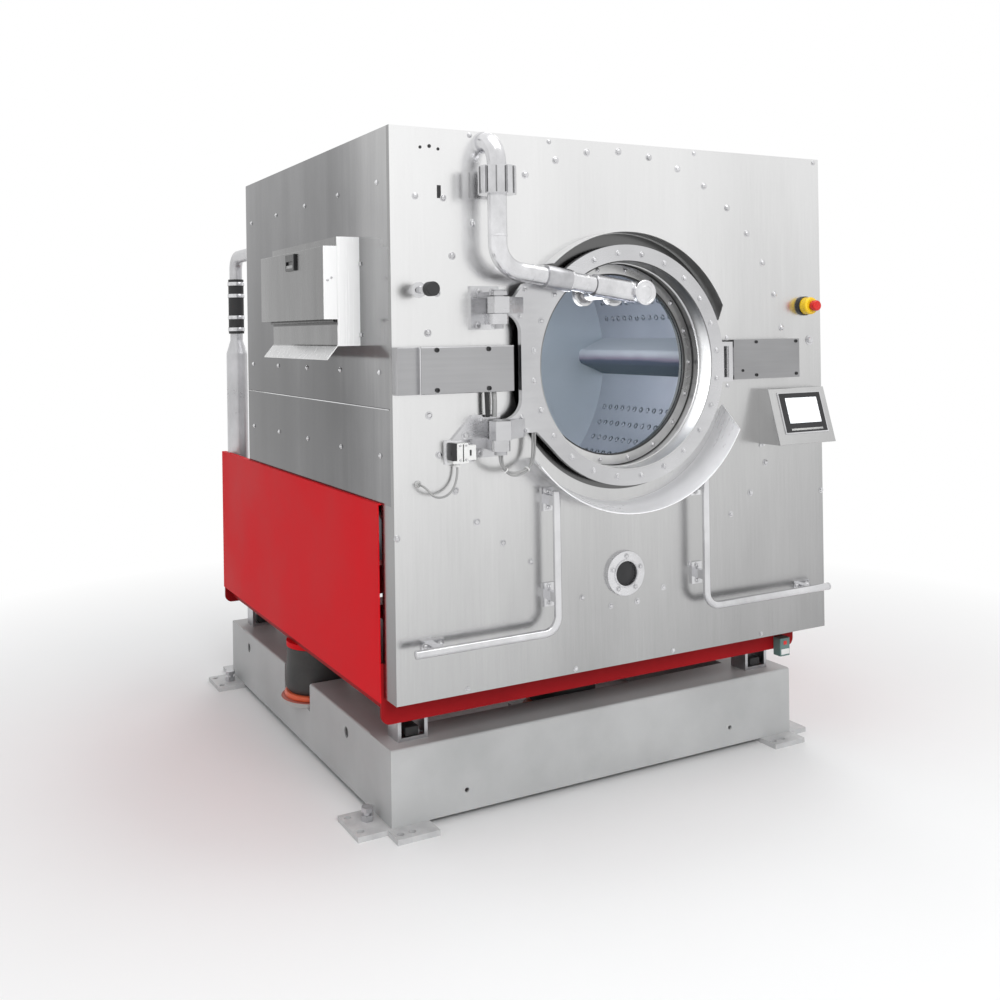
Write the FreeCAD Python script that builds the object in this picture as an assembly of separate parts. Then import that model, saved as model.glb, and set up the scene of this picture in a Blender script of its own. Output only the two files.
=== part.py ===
import FreeCAD, Part
import math
import os

# Industrial front-loading washer-extractor on an air-sprung base.
# Millimetres. Origin on the floor below the drum axis, midway between the feet, +Z up, the door faces -Y.
# The sizes below are laid out from the middle of the casing, and each node is moved to that origin when it is saved.

V = FreeCAD.Vector

# Base frame and its feet
FOOT_T = 18.0
BASE_W = 1672.0
BASE_H = 246.0
BEAM_W = 180.0
BEAM_WALL = 10.0
BEAM_EDGE = 8.0
BEAM_HOLE_R = 8.0
SIDE_HOLE_R = 19.0
FOOT_REACH_LEFT = 114.0
FOOT_REACH_RIGHT = 83.0
TOE_REACH_FRONT = 81.0
TOE_REACH_REAR = 127.0
FOOT_LENGTH = 182.0
FOOT_WIDTH = 145.0
FOOT_STEP = 14.0
ANCHOR_HOLE_R = 12.0
ANCHOR_OUT = 91.0
ANCHOR_NEAR = 36.0
ANCHOR_FAR = 150.0
TOE_ANCHOR_OUT = 46.0
TOE_ANCHOR_X = 9.0
TOE_ANCHOR_PITCH = 41.0
LEVELLER_R = 12.0
LEVELLER_H = 62.0
LEVELLER_OUT_LEFT = 42.0
LEVELLER_OUT_RIGHT = 35.0
LEVELLER_Y = 102.0

# Air springs between the base and the floating machine
SPRING_R = 130.0
SPRING_NOTCH = 305.0
SPRING_FLOOR = 142.0
SEAT_R = 146.0
SEAT_T = 16.0
SEAT_RING_R = 133.0
SEAT_RING_T = 22.0
CAP_R = 124.0
CAP_T = 20.0
BASE_MARGIN = 12.0
FLOAT_GAP = 104.0
FLOAT_TRAVEL = 15.0
STOP_W = 56.0
STOP_D = 84.0
STOP_SETBACK = 54.0
STOP_H = 62.0
STOP_PLATE_T = 12.0
STOP_SIDE_GAP = 25.0

# Red chassis
CHASSIS_BACK = 404.0
CHASSIS_PLATE_T = 12.0
CHASSIS_PLATE_H = 192.0
CHASSIS_CORNER = 30.0
RAIL_LIFT = 24.0
RAIL_H = 150.0
RAIL_WALL = 8.0
CROSS_H = 130.0
CROSS_W = 120.0
SIDE_SHEET = 4.0
SIDE_PROUD = 12.0
SIDE_LOW = 71.0
SIDE_H = 618.0
SIDE_FLANGE = 36.0
SIDE_LEDGE = 15.0

# Stainless casing
FRONT_OVERHANG = 151.0
PANEL_LIFT = 87.0
PANEL_W = 1756.0
PANEL_H = 1763.0
PANEL_T = 4.0
SHEET_T = 3.0
DRIVE_CLEARANCE = 88.0
BOX_DEPTH = 100.0
EDGE_RETURN = 20.0
SEAM_H = 297.0
SEAM_GAP = 1.0

# Tub, drum and drive
AXIS_X = -37.0
TUB_R = 712.0
TUB_WALL = 7.0
TUB_LENGTH = 1186.0
TUB_PLATE = 12.0
FLANGE_W = 30.0
TOP_CLEARANCE = 8.0
DRUM_GAP = 40.0
DRUM_WALL = 4.0
DRUM_PLATE = 8.0
DRUM_END_GAP = 84.0
DRUM_SETBACK = 150.0
MOUTH_R = 400.0
LIFTER_COUNT = 4
LIFTER_H = 130.0
LIFTER_W = 170.0
SHAFT_R = 70.0
SHAFT_END_R = 60.0
RUNNING = 0.05
HOUSING_LENGTH = 180.0
HOUSING_FLANGE_R = 260.0
SPIDER_T = 40.0
PULLEY_R = 420.0
PULLEY_W = 80.0
PULLEY_GAP = 15.0
MOTOR_PULLEY_R = 100.0
BELT_COUNT = 4
BELT_W = 15.0
BELT_T = 17.0
BELT_PITCH = 19.0
BELT_SINK = 14.0
MOTOR_R = 165.0
MOTOR_LENGTH = 380.0
MOTOR_SHAFT_R = 24.0
MOTOR_FIN_COUNT = 18
DRAIN_R = 60.0
DRAIN_WALL = 5.0
DRAIN_STUB = 70.0
VALVE_R = 82.0
VALVE_H = 60.0
ACTUATOR_L = 140.0
ACTUATOR_W = 90.0
SADDLE_T = 30.0
SADDLE_INSET = 190.0

# Door
BOWL_R = 350.0
BOWL_WALL = 4.0
BOWL_DEPTH = 134.0
RING_W = 53.0
DOOR_T = 20.0
DOOR_GAP = 30.0
NECK_GAP = 24.0
NECK_WALL = 8.0
SEAL_T = 5.7
GLASS_T = 12.0
CLAMP_W = 36.0
CLAMP_T = 8.0
GLASS_SEAT = 12.0
HINGE_REACH = 116.0
HINGE_OUT = 90.0
PIN_R = 14.0
ARM_W = 88.0
ARM_BLOCK = 28.0
EAR_R = 30.0
ARM_TOP = 226.0
ARM_H = 51.0
ARM_LOW = 217.0
ARM_LOW_H = 59.0
NOTCH_REACH = 101.0
NOTCH_ROUND = 62.0
TAB_REACH = 41.0
TAB_HALF = 70.0
LOCK_SLOT_H = 110.0
LOCK_BOLT_T = 12.0
LOCK_BOLT_H = 98.0
LOCK_TRAVEL = 38.0
FREE = 0.3

# Spray pipe
PIPE_R = 30.2
PIPE_WALL = 3.0
PIPE_BEND = 90.0
UNION_R = 60.0
UNION_H = 86.0
UNION_TOP = 122.0
UNION_SLOTS = 12
PIPE_SLOPE = 8.2
MANIFOLD_R = 36.0
MANIFOLD_L = 176.0
BRANCH_R = 22.0
BRANCH_DROP = 18.0
NOZZLE_X = 115.0
NOZZLE_CLEAR = 4.5
NOZZLE_R = 40.0
NOZZLE_T = 12.0
NOZZLE_TIP_R = 18.0
CAP_END_R = 41.0
CAP_END_T = 9.0

# Front fittings
VISOR_REACH = 42.0
VISOR_DEPTH = 55.0
VISOR_START = 19.1
VISOR_TURN = 112.4
VISOR_T = 3.0
SCOOP_REACH = 57.0
SCOOP_FLARE = 27.0
SCOOP_DEPTH = 100.0
SCOOP_T = 4.0
COVER_H = 145.0
COVER_BACK_DEPTH = 30.0
COVER_DEPTH = 45.0
LOCK_BOX_L = 310.0
LOCK_BOX_DEPTH = 48.0
RAIL_TUBE_R = 13.0
RAIL_OUT = 62.0
RAIL_OFFSET = 303.0
RAIL_CLEAR = 2.0
BRACKET_L = 76.0
BRACKET_W = 44.0
BRACKET_T = 8.0
RAIL_LOW = 167.0
RAIL_BEND = 50.0
RAIL_END = 40.0
PORT_R = 76.0
PORT_BORE_R = 42.0
PORT_DROP = 705.0
CONSOLE_W = 270.0
CONSOLE_H = 200.0
CONSOLE_DROP = 304.0
CONSOLE_TOP_DEPTH = 49.0
CONSOLE_LOW_DEPTH = 111.0
SCREEN_W = 200.0
SCREEN_H = 146.0
SCREEN_T = 5.0
STOP_BASE_R = 34.0
STOP_FOOT_T = 12.0
STOP_BODY_R = 32.0
STOP_BODY_L = 33.0
STOP_HEAD_R = 19.5
STOP_HEAD_T = 22.0
STOP_GAP = 2.0
STOP_STEM_R = 12.0
STOP_PRESS = 5.0
BUMPER_R = 22.0
BUMPER_STEM_R = 11.0
BUMPER_OUT = 110.0
CABLE_R = 3.5
CABLE_SPACING = 9.0
LEAD_R = 3.5

# Soap hopper on the left side
HOPPER_DEPTH = 77.0
HOPPER_L = 682.0
HOPPER_H = 350.0
HOPPER_SETBACK = 253.0
HOPPER_TOP = 321.0
LATCH_SETBACK = 270.0
LATCH_W = 92.0
LATCH_H = 56.0
LATCH_MARGIN = 8.0
HOPPER_WALL = 3.0
LID_DEPTH = 45.0
LID_H = 234.0
LID_DROP = 30.0
LIP_REACH = 36.0
LIP_DROP = 44.0
KNUCKLE_R = 6.0
KNUCKLE_PIN_R = 3.0

# Rear vent pipe
VENT_R = 28.0
VENT_SLEEVE_R = 34.0
VENT_LOW_R = 46.0
VENT_BEND = 60.0
VENT_DROP = 280.0

# Places worked out from the sizes above
CASING_D = PANEL_T + TUB_LENGTH + HOUSING_LENGTH + PULLEY_GAP + PULLEY_W + DRIVE_CLEARANCE
CHASSIS_D = CASING_D - BOX_DEPTH - 1 + CHASSIS_BACK
BASE_D = CHASSIS_D + BASE_MARGIN
HALF_W = PANEL_W / 2
HALF_BASE = BASE_W / 2
HALF_DEPTH = BASE_D / 2
BASE_TOP = FOOT_T + BASE_H
SPRING_BOTTOM = FOOT_T + SPRING_FLOOR
SPRING_X = HALF_BASE - BEAM_W / 2
SPRING_Y = HALF_DEPTH - BEAM_W - SEAT_R - 4
CHASSIS_LOW = BASE_TOP + FLOAT_GAP
RAIL_BOTTOM = CHASSIS_LOW + RAIL_LIFT
RAIL_TOP_Z = RAIL_BOTTOM + RAIL_H
CROSS_TOP = RAIL_BOTTOM + CROSS_H
FRONT = -HALF_DEPTH - FRONT_OVERHANG
REAR = FRONT + CASING_D
CHASSIS_FRONT = FRONT + BOX_DEPTH + 1
CHASSIS_REAR = REAR + CHASSIS_BACK
PANEL_LOW = CHASSIS_LOW + PANEL_LIFT
CASING_TOP = PANEL_LOW + PANEL_H
SIDE_BOTTOM = CHASSIS_LOW + SIDE_LOW
SIDE_TOP = SIDE_BOTTOM + SIDE_H
SEAM_Z = SIDE_TOP + SEAM_H
SIDE_LEFT = -HALF_W - SIDE_PROUD
SIDE_RIGHT = 2 * AXIS_X - SIDE_LEFT
RAIL_INNER = SPRING_X - 100
AXIS_Z = CASING_TOP - TUB_R - FLANGE_W - TOP_CLEARANCE
TUB_FRONT = FRONT + PANEL_T
TUB_BACK = TUB_FRONT + TUB_LENGTH
DRUM_FRONT = FRONT + DRUM_SETBACK
DRUM_BACK = TUB_BACK - DRUM_END_GAP
DRUM_R = TUB_R - DRUM_GAP
DRUM_INNER = DRUM_R - DRUM_WALL
HOUSING_BACK = TUB_BACK + HOUSING_LENGTH
PULLEY_Y = HOUSING_BACK + PULLEY_GAP
MOTOR_Z = CROSS_TOP + MOTOR_R + 53
MOTOR_Y = PULLEY_Y + PULLEY_W + PULLEY_GAP
SADDLE_FRONT = -SPRING_Y
SADDLE_BACK = TUB_BACK - SADDLE_INSET
DRAIN_Y = (SADDLE_FRONT + SADDLE_BACK) / 2
RING_R = BOWL_R + RING_W
DOOR_WELD = BOWL_R + RING_W * 0.66
NECK_IN = BOWL_R + NECK_GAP
NECK_OUT = NECK_IN + NECK_WALL
DOOR_BACK = FRONT - DOOR_GAP
DOOR_FRONT = DOOR_BACK - DOOR_T
BOWL_BACK = DOOR_FRONT + BOWL_DEPTH
GLASS_BACK = BOWL_BACK - GLASS_SEAT
GLASS_FRONT = GLASS_BACK - GLASS_T
HINGE_X = AXIS_X - RING_R - HINGE_REACH
HINGE_Y = FRONT - HINGE_OUT
ARM_TOP_Z = AXIS_Z + ARM_TOP
ARM_LOW_Z = AXIS_Z - ARM_LOW
NOTCH_X = HINGE_X + NOTCH_REACH
TAB_X = AXIS_X + RING_R + TAB_REACH
UNION_Z = CASING_TOP - UNION_TOP
BRANCH_X = AXIS_X - NOZZLE_X
NOZZLE_SEAT_R = BOWL_R - BOWL_WALL - FREE - CLAMP_W - NOZZLE_R - NOZZLE_CLEAR
NOZZLE_Z = AXIS_Z + math.sqrt(NOZZLE_SEAT_R ** 2 - NOZZLE_X ** 2)
PIPE_ELBOW_Z = NOZZLE_Z + BRANCH_DROP + math.tan(math.radians(PIPE_SLOPE)) * (BRANCH_X - HINGE_X)
PIPE_END_X = AXIS_X + 6
RAIL_LOW_Z = PANEL_LOW + RAIL_LOW
SCOOP_RIM_R = RING_R + SCOOP_REACH + SCOOP_FLARE + SCOOP_T
RAIL_HIGH_Z = AXIS_Z - math.sqrt(SCOOP_RIM_R ** 2 - (RAIL_OFFSET - RAIL_TUBE_R) ** 2) - RAIL_CLEAR
HOPPER_Y = FRONT + HOPPER_SETBACK
HOPPER_Z = CASING_TOP - HOPPER_TOP
LID_X = -HALF_W - HOPPER_DEPTH
LID_BOTTOM = HOPPER_Z - LID_DROP - LID_H
KNUCKLE_X = LID_X - KNUCKLE_R - 2 * FREE
KNUCKLE_Z = LID_BOTTOM - KNUCKLE_R * 0.6
VENT_X = -HALF_W + VENT_LOW_R
VENT_Y = CHASSIS_REAR - CHASSIS_PLATE_T - VENT_LOW_R - 4


def box(x0, x1, y0, y1, z0, z1):
    return Part.makeBox(x1 - x0, y1 - y0, z1 - z0, V(x0, y0, z0))


def post(radius, x, y, z0, z1):
    return Part.makeCylinder(radius, z1 - z0, V(x, y, z0), V(0, 0, 1))


def disc(radius, x, z, y0, y1):
    return Part.makeCylinder(radius, y1 - y0, V(x, y0, z), V(0, 1, 0))


def rod(radius, start, end):
    way = end - start
    return Part.makeCylinder(radius, way.Length, start, way)


def ring(outer, inner, x, z, y0, y1):
    return disc(outer, x, z, y0, y1).cut(disc(inner, x, z, y0 - 1, y1 + 1))


def fuse(shapes):
    return shapes[0].multiFuse(shapes[1:]).removeSplitter()


def plate_xz(points, y0, y1):
    corners = [V(x, y0, z) for x, z in points]
    face = Part.Face(Part.makePolygon(corners + corners[:1]))
    return face.extrude(V(0, y1 - y0, 0))


def plate_xy(points, z0, z1):
    corners = [V(x, y, z0) for x, y in points]
    face = Part.Face(Part.makePolygon(corners + corners[:1]))
    return face.extrude(V(0, 0, z1 - z0))


def plate_yz(points, x0, x1):
    corners = [V(x0, y, z) for y, z in points]
    face = Part.Face(Part.makePolygon(corners + corners[:1]))
    return face.extrude(V(x1 - x0, 0, 0))


def rounded_plate(x0, x1, y0, y1, z0, z1, radius):
    """Upright plate whose two lower corners are rounded."""
    plate = box(x0, x1, y0, y1, z0, z1)
    low = [e for e in plate.Edges if abs(e.BoundBox.ZMax - z0) < 0.01 and e.BoundBox.YLength > 1]
    return plate.makeFillet(radius, low)


def mirror_x(shape, x=0.0):
    return shape.mirror(V(x, 0, 0), V(1, 0, 0))


def mirror_y(shape):
    return shape.mirror(V(0, 0, 0), V(0, 1, 0))


def turn_drum(points, start, sweep):
    """Sheet of revolution about the drum axis from (radius, y) points, angles from +X to +Z."""
    a = math.radians(start)
    corners = [V(AXIS_X + r * math.cos(a), y, AXIS_Z + r * math.sin(a)) for r, y in points]
    face = Part.Face(Part.makePolygon(corners + corners[:1]))
    return face.revolve(V(AXIS_X, 0, AXIS_Z), V(0, -1, 0), sweep)


def turn_full(points, x, z):
    """Solid of revolution about a Y axis through (x, z) from (radius, y) points."""
    corners = [V(x + r, y, z) for r, y in points]
    face = Part.Face(Part.makePolygon(corners + corners[:1]))
    return face.revolve(V(x, 0, z), V(0, 1, 0), 360)


def path_wire(points, radius=None):
    """Straight runs joined by tangent arcs. Without a radius each arc is as large as its runs allow."""
    edges = []
    start = points[0]
    for before, corner, after in zip(points, points[1:], points[2:]):
        back = before - corner
        ahead = after - corner
        half_turn = (math.pi - back.getAngle(ahead)) / 2
        if radius:
            cut = radius * math.tan(half_turn)
        else:
            cut = 0.45 * min(back.Length, ahead.Length)
        back.normalize()
        ahead.normalize()
        first = corner + back * cut
        last = corner + ahead * cut
        middle = back + ahead
        middle.normalize()
        bend = cut / math.tan(half_turn)
        crest = corner + middle * (bend / math.cos(half_turn) - bend)
        edges.append(Part.LineSegment(start, first).toShape())
        edges.append(Part.Arc(first, crest, last).toShape())
        start = last
    edges.append(Part.LineSegment(start, points[-1]).toShape())
    return Part.Wire(edges)


def tube(points, outer, bend=None, inner=0.0):
    path = path_wire(points, bend)
    way = points[1] - points[0]
    rim = Part.Wire(Part.makeCircle(outer, points[0], way))
    solid = path.makePipeShell([rim], True, False)
    if inner:
        bore = Part.Wire(Part.makeCircle(inner, points[0], way))
        solid = solid.cut(path.makePipeShell([bore], True, False))
    return solid


def hexagon(across, x, y, z0, z1):
    corner = across / math.sqrt(3)
    points = [V(x + corner * math.cos(math.radians(60 * i)), y + corner * math.sin(math.radians(60 * i)), z0)
              for i in range(6)]
    return Part.Face(Part.makePolygon(points + points[:1])).extrude(V(0, 0, z1 - z0))


def group(solids):
    return Part.makeCompound(solids)


def save(name, shape):
    shape.translate(V(-AXIS_X, 0, 0))
    shape.exportStep(os.path.join("parts", name + ".step"))


def hollow_beam(x0, x1, y0, y1, z0, z1, closed_y):
    """Bent-plate beam, open underneath, with its ends along Y closed where closed_y says."""
    low = y0 + BEAM_WALL if closed_y[0] else y0 - 1
    high = y1 - BEAM_WALL if closed_y[1] else y1 + 1
    inside = box(x0 + BEAM_WALL, x1 - BEAM_WALL, low, high, z0 - 1, z1 - BEAM_WALL)
    return box(x0, x1, y0, y1, z0, z1).cut(inside)


def base_side_beams():
    half_notch = SPRING_NOTCH / 2
    end = HALF_DEPTH - BEAM_W
    x0 = -HALF_BASE
    x1 = x0 + BEAM_W
    front = hollow_beam(x0, x1, -end, -half_notch, FOOT_T, BASE_TOP, (False, True))
    back = hollow_beam(x0, x1, half_notch, end, FOOT_T, BASE_TOP, (True, False))
    low = hollow_beam(x0, x1, -half_notch, half_notch, FOOT_T, SPRING_BOTTOM, (False, False))
    for y in (-end + BEAM_W * 1.2, end - BEAM_W * 0.5):
        hole = Part.makeCylinder(SIDE_HOLE_R, BEAM_WALL + 2, V(x0 - 1, y, BASE_TOP - 62), V(1, 0, 0))
        front = front.cut(hole)
        back = back.cut(hole)
    beam = fuse([front, low, back])
    edges = [e for e in beam.Edges if e.BoundBox.YLength > BEAM_W and abs(e.BoundBox.ZMin - BASE_TOP) < 0.01
             and abs(e.BoundBox.XMin - x0) < 0.01]
    beam = beam.makeFillet(min(BEAM_EDGE, BEAM_WALL * 0.8), edges)
    return group([beam, mirror_x(beam)])


def base_cross_beams():
    y0 = -HALF_DEPTH
    y1 = y0 + BEAM_W
    outer = box(-HALF_BASE, HALF_BASE, y0, y1, FOOT_T, BASE_TOP)
    edges = [e for e in outer.Edges if e.BoundBox.XLength > BEAM_W and e.BoundBox.ZMin > BASE_TOP - 1
             and e.BoundBox.YMax < y0 + 1]
    outer = outer.makeFillet(min(BEAM_EDGE, BEAM_WALL * 0.8), edges)
    inside = box(-HALF_BASE + BEAM_WALL, HALF_BASE - BEAM_WALL, y0 + BEAM_WALL, y1 - BEAM_WALL,
                 FOOT_T - 1, BASE_TOP - BEAM_WALL)
    beam = outer.cut(inside)
    for x in (-HALF_BASE * 0.68, HALF_BASE * 0.645):
        beam = beam.cut(disc(BEAM_HOLE_R, x, FOOT_T + 68, y0 - 1, y0 + BEAM_WALL + 1))
    shelf = box(-SEAT_R, SEAT_R, y1, y1 + 2 * SEAT_R + 8, SPRING_BOTTOM - SEAT_T, SPRING_BOTTOM)
    leg = box(-SEAT_R, SEAT_R, y1 + 2 * SEAT_R - 8, y1 + 2 * SEAT_R + 8, FOOT_T, SPRING_BOTTOM - SEAT_T)
    beam = fuse([beam, shelf, leg])
    return group([beam, mirror_y(beam)])


def foot(beam_x, reach, toe_x, toe_reach, leveller_x):
    """Front foot in the left-hand sense: a side plate and a toe below the corner of the base."""
    y0 = -HALF_DEPTH
    y1 = y0 + FOOT_LENGTH
    side = box(beam_x - reach, beam_x + BEAM_W * 0.5, y0, y1, 0, FOOT_T)
    toe = box(toe_x, toe_x + FOOT_WIDTH, y0 - toe_reach, y1, 0, FOOT_T)
    plate = fuse([side, toe])
    anchor_x = -HALF_BASE - ANCHOR_OUT
    toe_anchor_x = -HALF_BASE + TOE_ANCHOR_X
    holes = [(anchor_x, y0 + ANCHOR_NEAR), (anchor_x, y0 + ANCHOR_FAR), (toe_anchor_x, y0 - TOE_ANCHOR_OUT),
             (toe_anchor_x + TOE_ANCHOR_PITCH, y0 - TOE_ANCHOR_OUT)]
    for x, y in holes:
        plate = plate.cut(post(ANCHOR_HOLE_R, x, y, -1, FOOT_T + 1))
    return plate.cut(post(LEVELLER_R + FREE, leveller_x, y0 + LEVELLER_Y, -1, FOOT_T + 1))


def leveller_places():
    """Left and right levelling bolt, the right one as its mirror image about the drum axis."""
    return -HALF_BASE - LEVELLER_OUT_LEFT, 2 * AXIS_X - HALF_BASE - LEVELLER_OUT_RIGHT


def foot_plates():
    """Feet with anchor holes that are mirrored about the drum axis, though the base is not."""
    left_x, right_x = leveller_places()
    beam_right = 2 * AXIS_X - HALF_BASE
    feet = []
    for toe_reach, turn in ((TOE_REACH_FRONT, lambda shape: shape), (TOE_REACH_REAR, mirror_y)):
        left = foot(-HALF_BASE, FOOT_REACH_LEFT, -HALF_BASE - FOOT_STEP, toe_reach, left_x)
        right = foot(beam_right, FOOT_REACH_RIGHT, beam_right + 1, toe_reach, right_x)
        feet += [turn(left), turn(mirror_x(right, AXIS_X))]
    return group(feet)


def levelling_bolts():
    y = -HALF_DEPTH + LEVELLER_Y
    left_x, right_x = leveller_places()
    bolts = []
    for x in (left_x, 2 * AXIS_X - right_x):
        shank = post(LEVELLER_R, x, y, 0, LEVELLER_H)
        nut = hexagon(LEVELLER_R * 3, x, y, FOOT_T, FOOT_T + LEVELLER_R * 1.6)
        head = hexagon(LEVELLER_R * 3, x, y, LEVELLER_H - LEVELLER_R * 1.2, LEVELLER_H)
        bolt = fuse([shank, nut, head])
        bolts += [bolt, mirror_y(bolt)]
    return group(bolts)


def spring_places():
    return [(-SPRING_X, 0.0), (SPRING_X, 0.0), (0.0, -SPRING_Y), (0.0, SPRING_Y)]


def spring_seats():
    top = SPRING_BOTTOM + SEAT_T
    solids = []
    for x, y in spring_places():
        plate = post(SEAT_R, x, y, SPRING_BOTTOM, top)
        lip = post(SEAT_RING_R, x, y, top, top + SEAT_RING_T)
        rounded = [e for e in lip.Edges if e.Length > SEAT_RING_R]
        lip = lip.makeFillet(SEAT_RING_T * 0.4, rounded)
        solids.append(plate.fuse(lip))
    return group(solids)


def air_bellows():
    """Rubber sleeves with a waist below the cap and a lobe above the seat."""
    low = SPRING_BOTTOM + SEAT_T + SEAT_RING_T
    high = RAIL_BOTTOM - CAP_T
    tall = high - low
    shape = [(0.9, 0.0), (0.975, 0.08), (1.0, 0.22), (0.985, 0.4), (0.955, 0.62), (0.95, 0.82), (0.94, 1.0)]
    solids = []
    for x, y in spring_places():
        points = [V(x + SPRING_R * share, y, low + tall * rise) for share, rise in shape]
        curve = Part.BSplineCurve()
        curve.interpolate(points)
        foot = V(x, y, low)
        crown = V(x, y, high)
        edges = [Part.LineSegment(foot, points[0]).toShape(), curve.toShape(),
                 Part.LineSegment(points[-1], crown).toShape(), Part.LineSegment(crown, foot).toShape()]
        solids.append(Part.Face(Part.Wire(edges)).revolve(foot, V(0, 0, 1), 360))
    return group(solids)


def spring_caps():
    return group([post(CAP_R, x, y, RAIL_BOTTOM - CAP_T, RAIL_BOTTOM) for x, y in spring_places()])


def stop_places():
    left = (SIDE_LEFT + SIDE_SHEET + SIDE_FLANGE - RAIL_INNER) / 2 + 13
    right = (SIDE_RIGHT - SIDE_SHEET - SIDE_FLANGE + RAIL_INNER) / 2 + 7
    front = -HALF_DEPTH + STOP_SETBACK + STOP_D / 2
    rear = CHASSIS_REAR - CHASSIS_PLATE_T - STOP_D * 0.6
    return [(x, y) for x in (left, right) for y in (front, rear)]


def stop_brackets():
    solids = []
    for x, y in stop_places():
        half = STOP_W / 2 + STOP_SIDE_GAP
        y0 = y - STOP_D / 2
        y1 = y + STOP_D / 2
        floor = box(x - half, x + half, y0, y1, BASE_TOP, BASE_TOP + STOP_PLATE_T)
        top = CHASSIS_LOW - FLOAT_TRAVEL * 0.6
        cheeks = [box(x + side - STOP_PLATE_T / 2, x + side + STOP_PLATE_T / 2, y0, y1, BASE_TOP, top)
                  for side in (-half + STOP_PLATE_T / 2, half - STOP_PLATE_T / 2)]
        solids.append(fuse([floor] + cheeks))
    return group(solids)


def rubber_stops():
    solids = []
    for x, y in stop_places():
        block = box(x - STOP_W / 2, x + STOP_W / 2, y - STOP_D / 2, y + STOP_D / 2,
                    RAIL_BOTTOM - STOP_H, RAIL_BOTTOM)
        low = [e for e in block.Edges if e.BoundBox.ZMax < RAIL_BOTTOM - STOP_H + 1]
        solids.append(block.makeFillet(STOP_W * 0.15, low))
    return group(solids)


def red_side_panels():
    x0 = SIDE_LEFT
    sheet = box(x0, x0 + SIDE_SHEET, CHASSIS_FRONT, CHASSIS_REAR, SIDE_BOTTOM, SIDE_TOP)
    inner = x0 + SIDE_SHEET
    foot = box(inner, inner + SIDE_FLANGE, CHASSIS_FRONT + CHASSIS_PLATE_T, CHASSIS_REAR - CHASSIS_PLATE_T,
               SIDE_BOTTOM, SIDE_BOTTOM + SIDE_SHEET)
    ledge = box(inner, inner + SIDE_LEDGE, CHASSIS_FRONT, CHASSIS_REAR, SIDE_TOP - SIDE_SHEET, SIDE_TOP)
    ledge = ledge.cut(post(VENT_LOW_R + 3, VENT_X, VENT_Y, SIDE_BOTTOM, CASING_TOP))
    panel = fuse([sheet, foot, ledge])
    return group([panel, mirror_x(panel, AXIS_X)])


def rail_sides():
    left = SIDE_LEFT + SIDE_SHEET + SIDE_FLANGE
    right = SIDE_RIGHT - SIDE_SHEET - SIDE_FLANGE
    return [(left, -RAIL_INNER), (RAIL_INNER, right)]


def chassis_rails():
    """Two welded box rails that ride on the air springs."""
    y0 = CHASSIS_FRONT + CHASSIS_PLATE_T
    y1 = CHASSIS_REAR - CHASSIS_PLATE_T
    solids = []
    for x0, x1 in rail_sides():
        outer = box(x0, x1, y0, y1, RAIL_BOTTOM, RAIL_TOP_Z)
        inner = box(x0 + RAIL_WALL, x1 - RAIL_WALL, y0 - 1, y1 + 1, RAIL_BOTTOM + RAIL_WALL, RAIL_TOP_Z - RAIL_WALL)
        solids.append(outer.cut(inner))
    return group(solids)


def chassis_cross_beams():
    """Front and rear red plates with rounded lower corners, and three beams between the rails."""
    x0 = SIDE_LEFT + SIDE_SHEET
    x1 = SIDE_RIGHT - SIDE_SHEET
    solids = []
    for y in (CHASSIS_FRONT, CHASSIS_REAR - CHASSIS_PLATE_T):
        solids.append(rounded_plate(x0, x1, y, y + CHASSIS_PLATE_T, CHASSIS_LOW, CHASSIS_LOW + CHASSIS_PLATE_H,
                                    CHASSIS_CORNER))
    for y in (SADDLE_FRONT, SADDLE_BACK, SPRING_Y):
        outer = box(-RAIL_INNER, RAIL_INNER, y - CROSS_W / 2, y + CROSS_W / 2, RAIL_BOTTOM, CROSS_TOP)
        inner = box(-RAIL_INNER - 1, RAIL_INNER + 1, y - CROSS_W / 2 + RAIL_WALL, y + CROSS_W / 2 - RAIL_WALL,
                    RAIL_BOTTOM + RAIL_WALL, CROSS_TOP - RAIL_WALL)
        solids.append(outer.cut(inner))
    return group(solids)


def front_panel():
    sheet = box(-HALF_W, HALF_W, FRONT, FRONT + PANEL_T, PANEL_LOW, CASING_TOP)
    inner = HALF_W - PANEL_T
    parts = [sheet]
    for x0, x1 in ((-HALF_W, -inner), (inner, HALF_W)):
        parts.append(box(x0, x1, FRONT, FRONT + BOX_DEPTH, PANEL_LOW, SIDE_TOP))
        parts.append(box(x0, x1, FRONT, FRONT + EDGE_RETURN, SIDE_TOP, CASING_TOP))
    panel = fuse(parts)
    panel = panel.cut(disc(NECK_OUT + FREE, AXIS_X, AXIS_Z, FRONT - 1, FRONT + PANEL_T + 1))
    port = disc(PORT_BORE_R + 4 + FREE, AXIS_X, AXIS_Z - PORT_DROP, FRONT - 1, FRONT + PANEL_T + 1)
    return panel.cut(port)


def side_panels():
    """Upper and lower sheet on each side, with an open seam between them."""
    x0 = -HALF_W
    y0 = FRONT + EDGE_RETURN
    y1 = REAR - SHEET_T
    upper = box(x0, x0 + SHEET_T, y0, y1, SEAM_Z + SEAM_GAP, CASING_TOP)
    lower = box(x0, x0 + SHEET_T, y0, y1, SIDE_TOP, SEAM_Z)
    return group([upper, lower, mirror_x(upper), mirror_x(lower)])


def top_panel():
    inner = HALF_W - SHEET_T
    sheet = box(-inner, inner, FRONT + PANEL_T, REAR - SHEET_T, CASING_TOP - SHEET_T, CASING_TOP)
    for x0, x1 in ((-HALF_W + PANEL_T - 2, -inner + 2), (inner - 2, HALF_W - PANEL_T + 2)):
        sheet = sheet.cut(box(x0, x1, FRONT, FRONT + EDGE_RETURN, CASING_TOP - SHEET_T - 1, CASING_TOP + 1))
    return sheet


def rear_panel():
    return box(-HALF_W, HALF_W, REAR - SHEET_T, REAR, SIDE_TOP, CASING_TOP)


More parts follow.
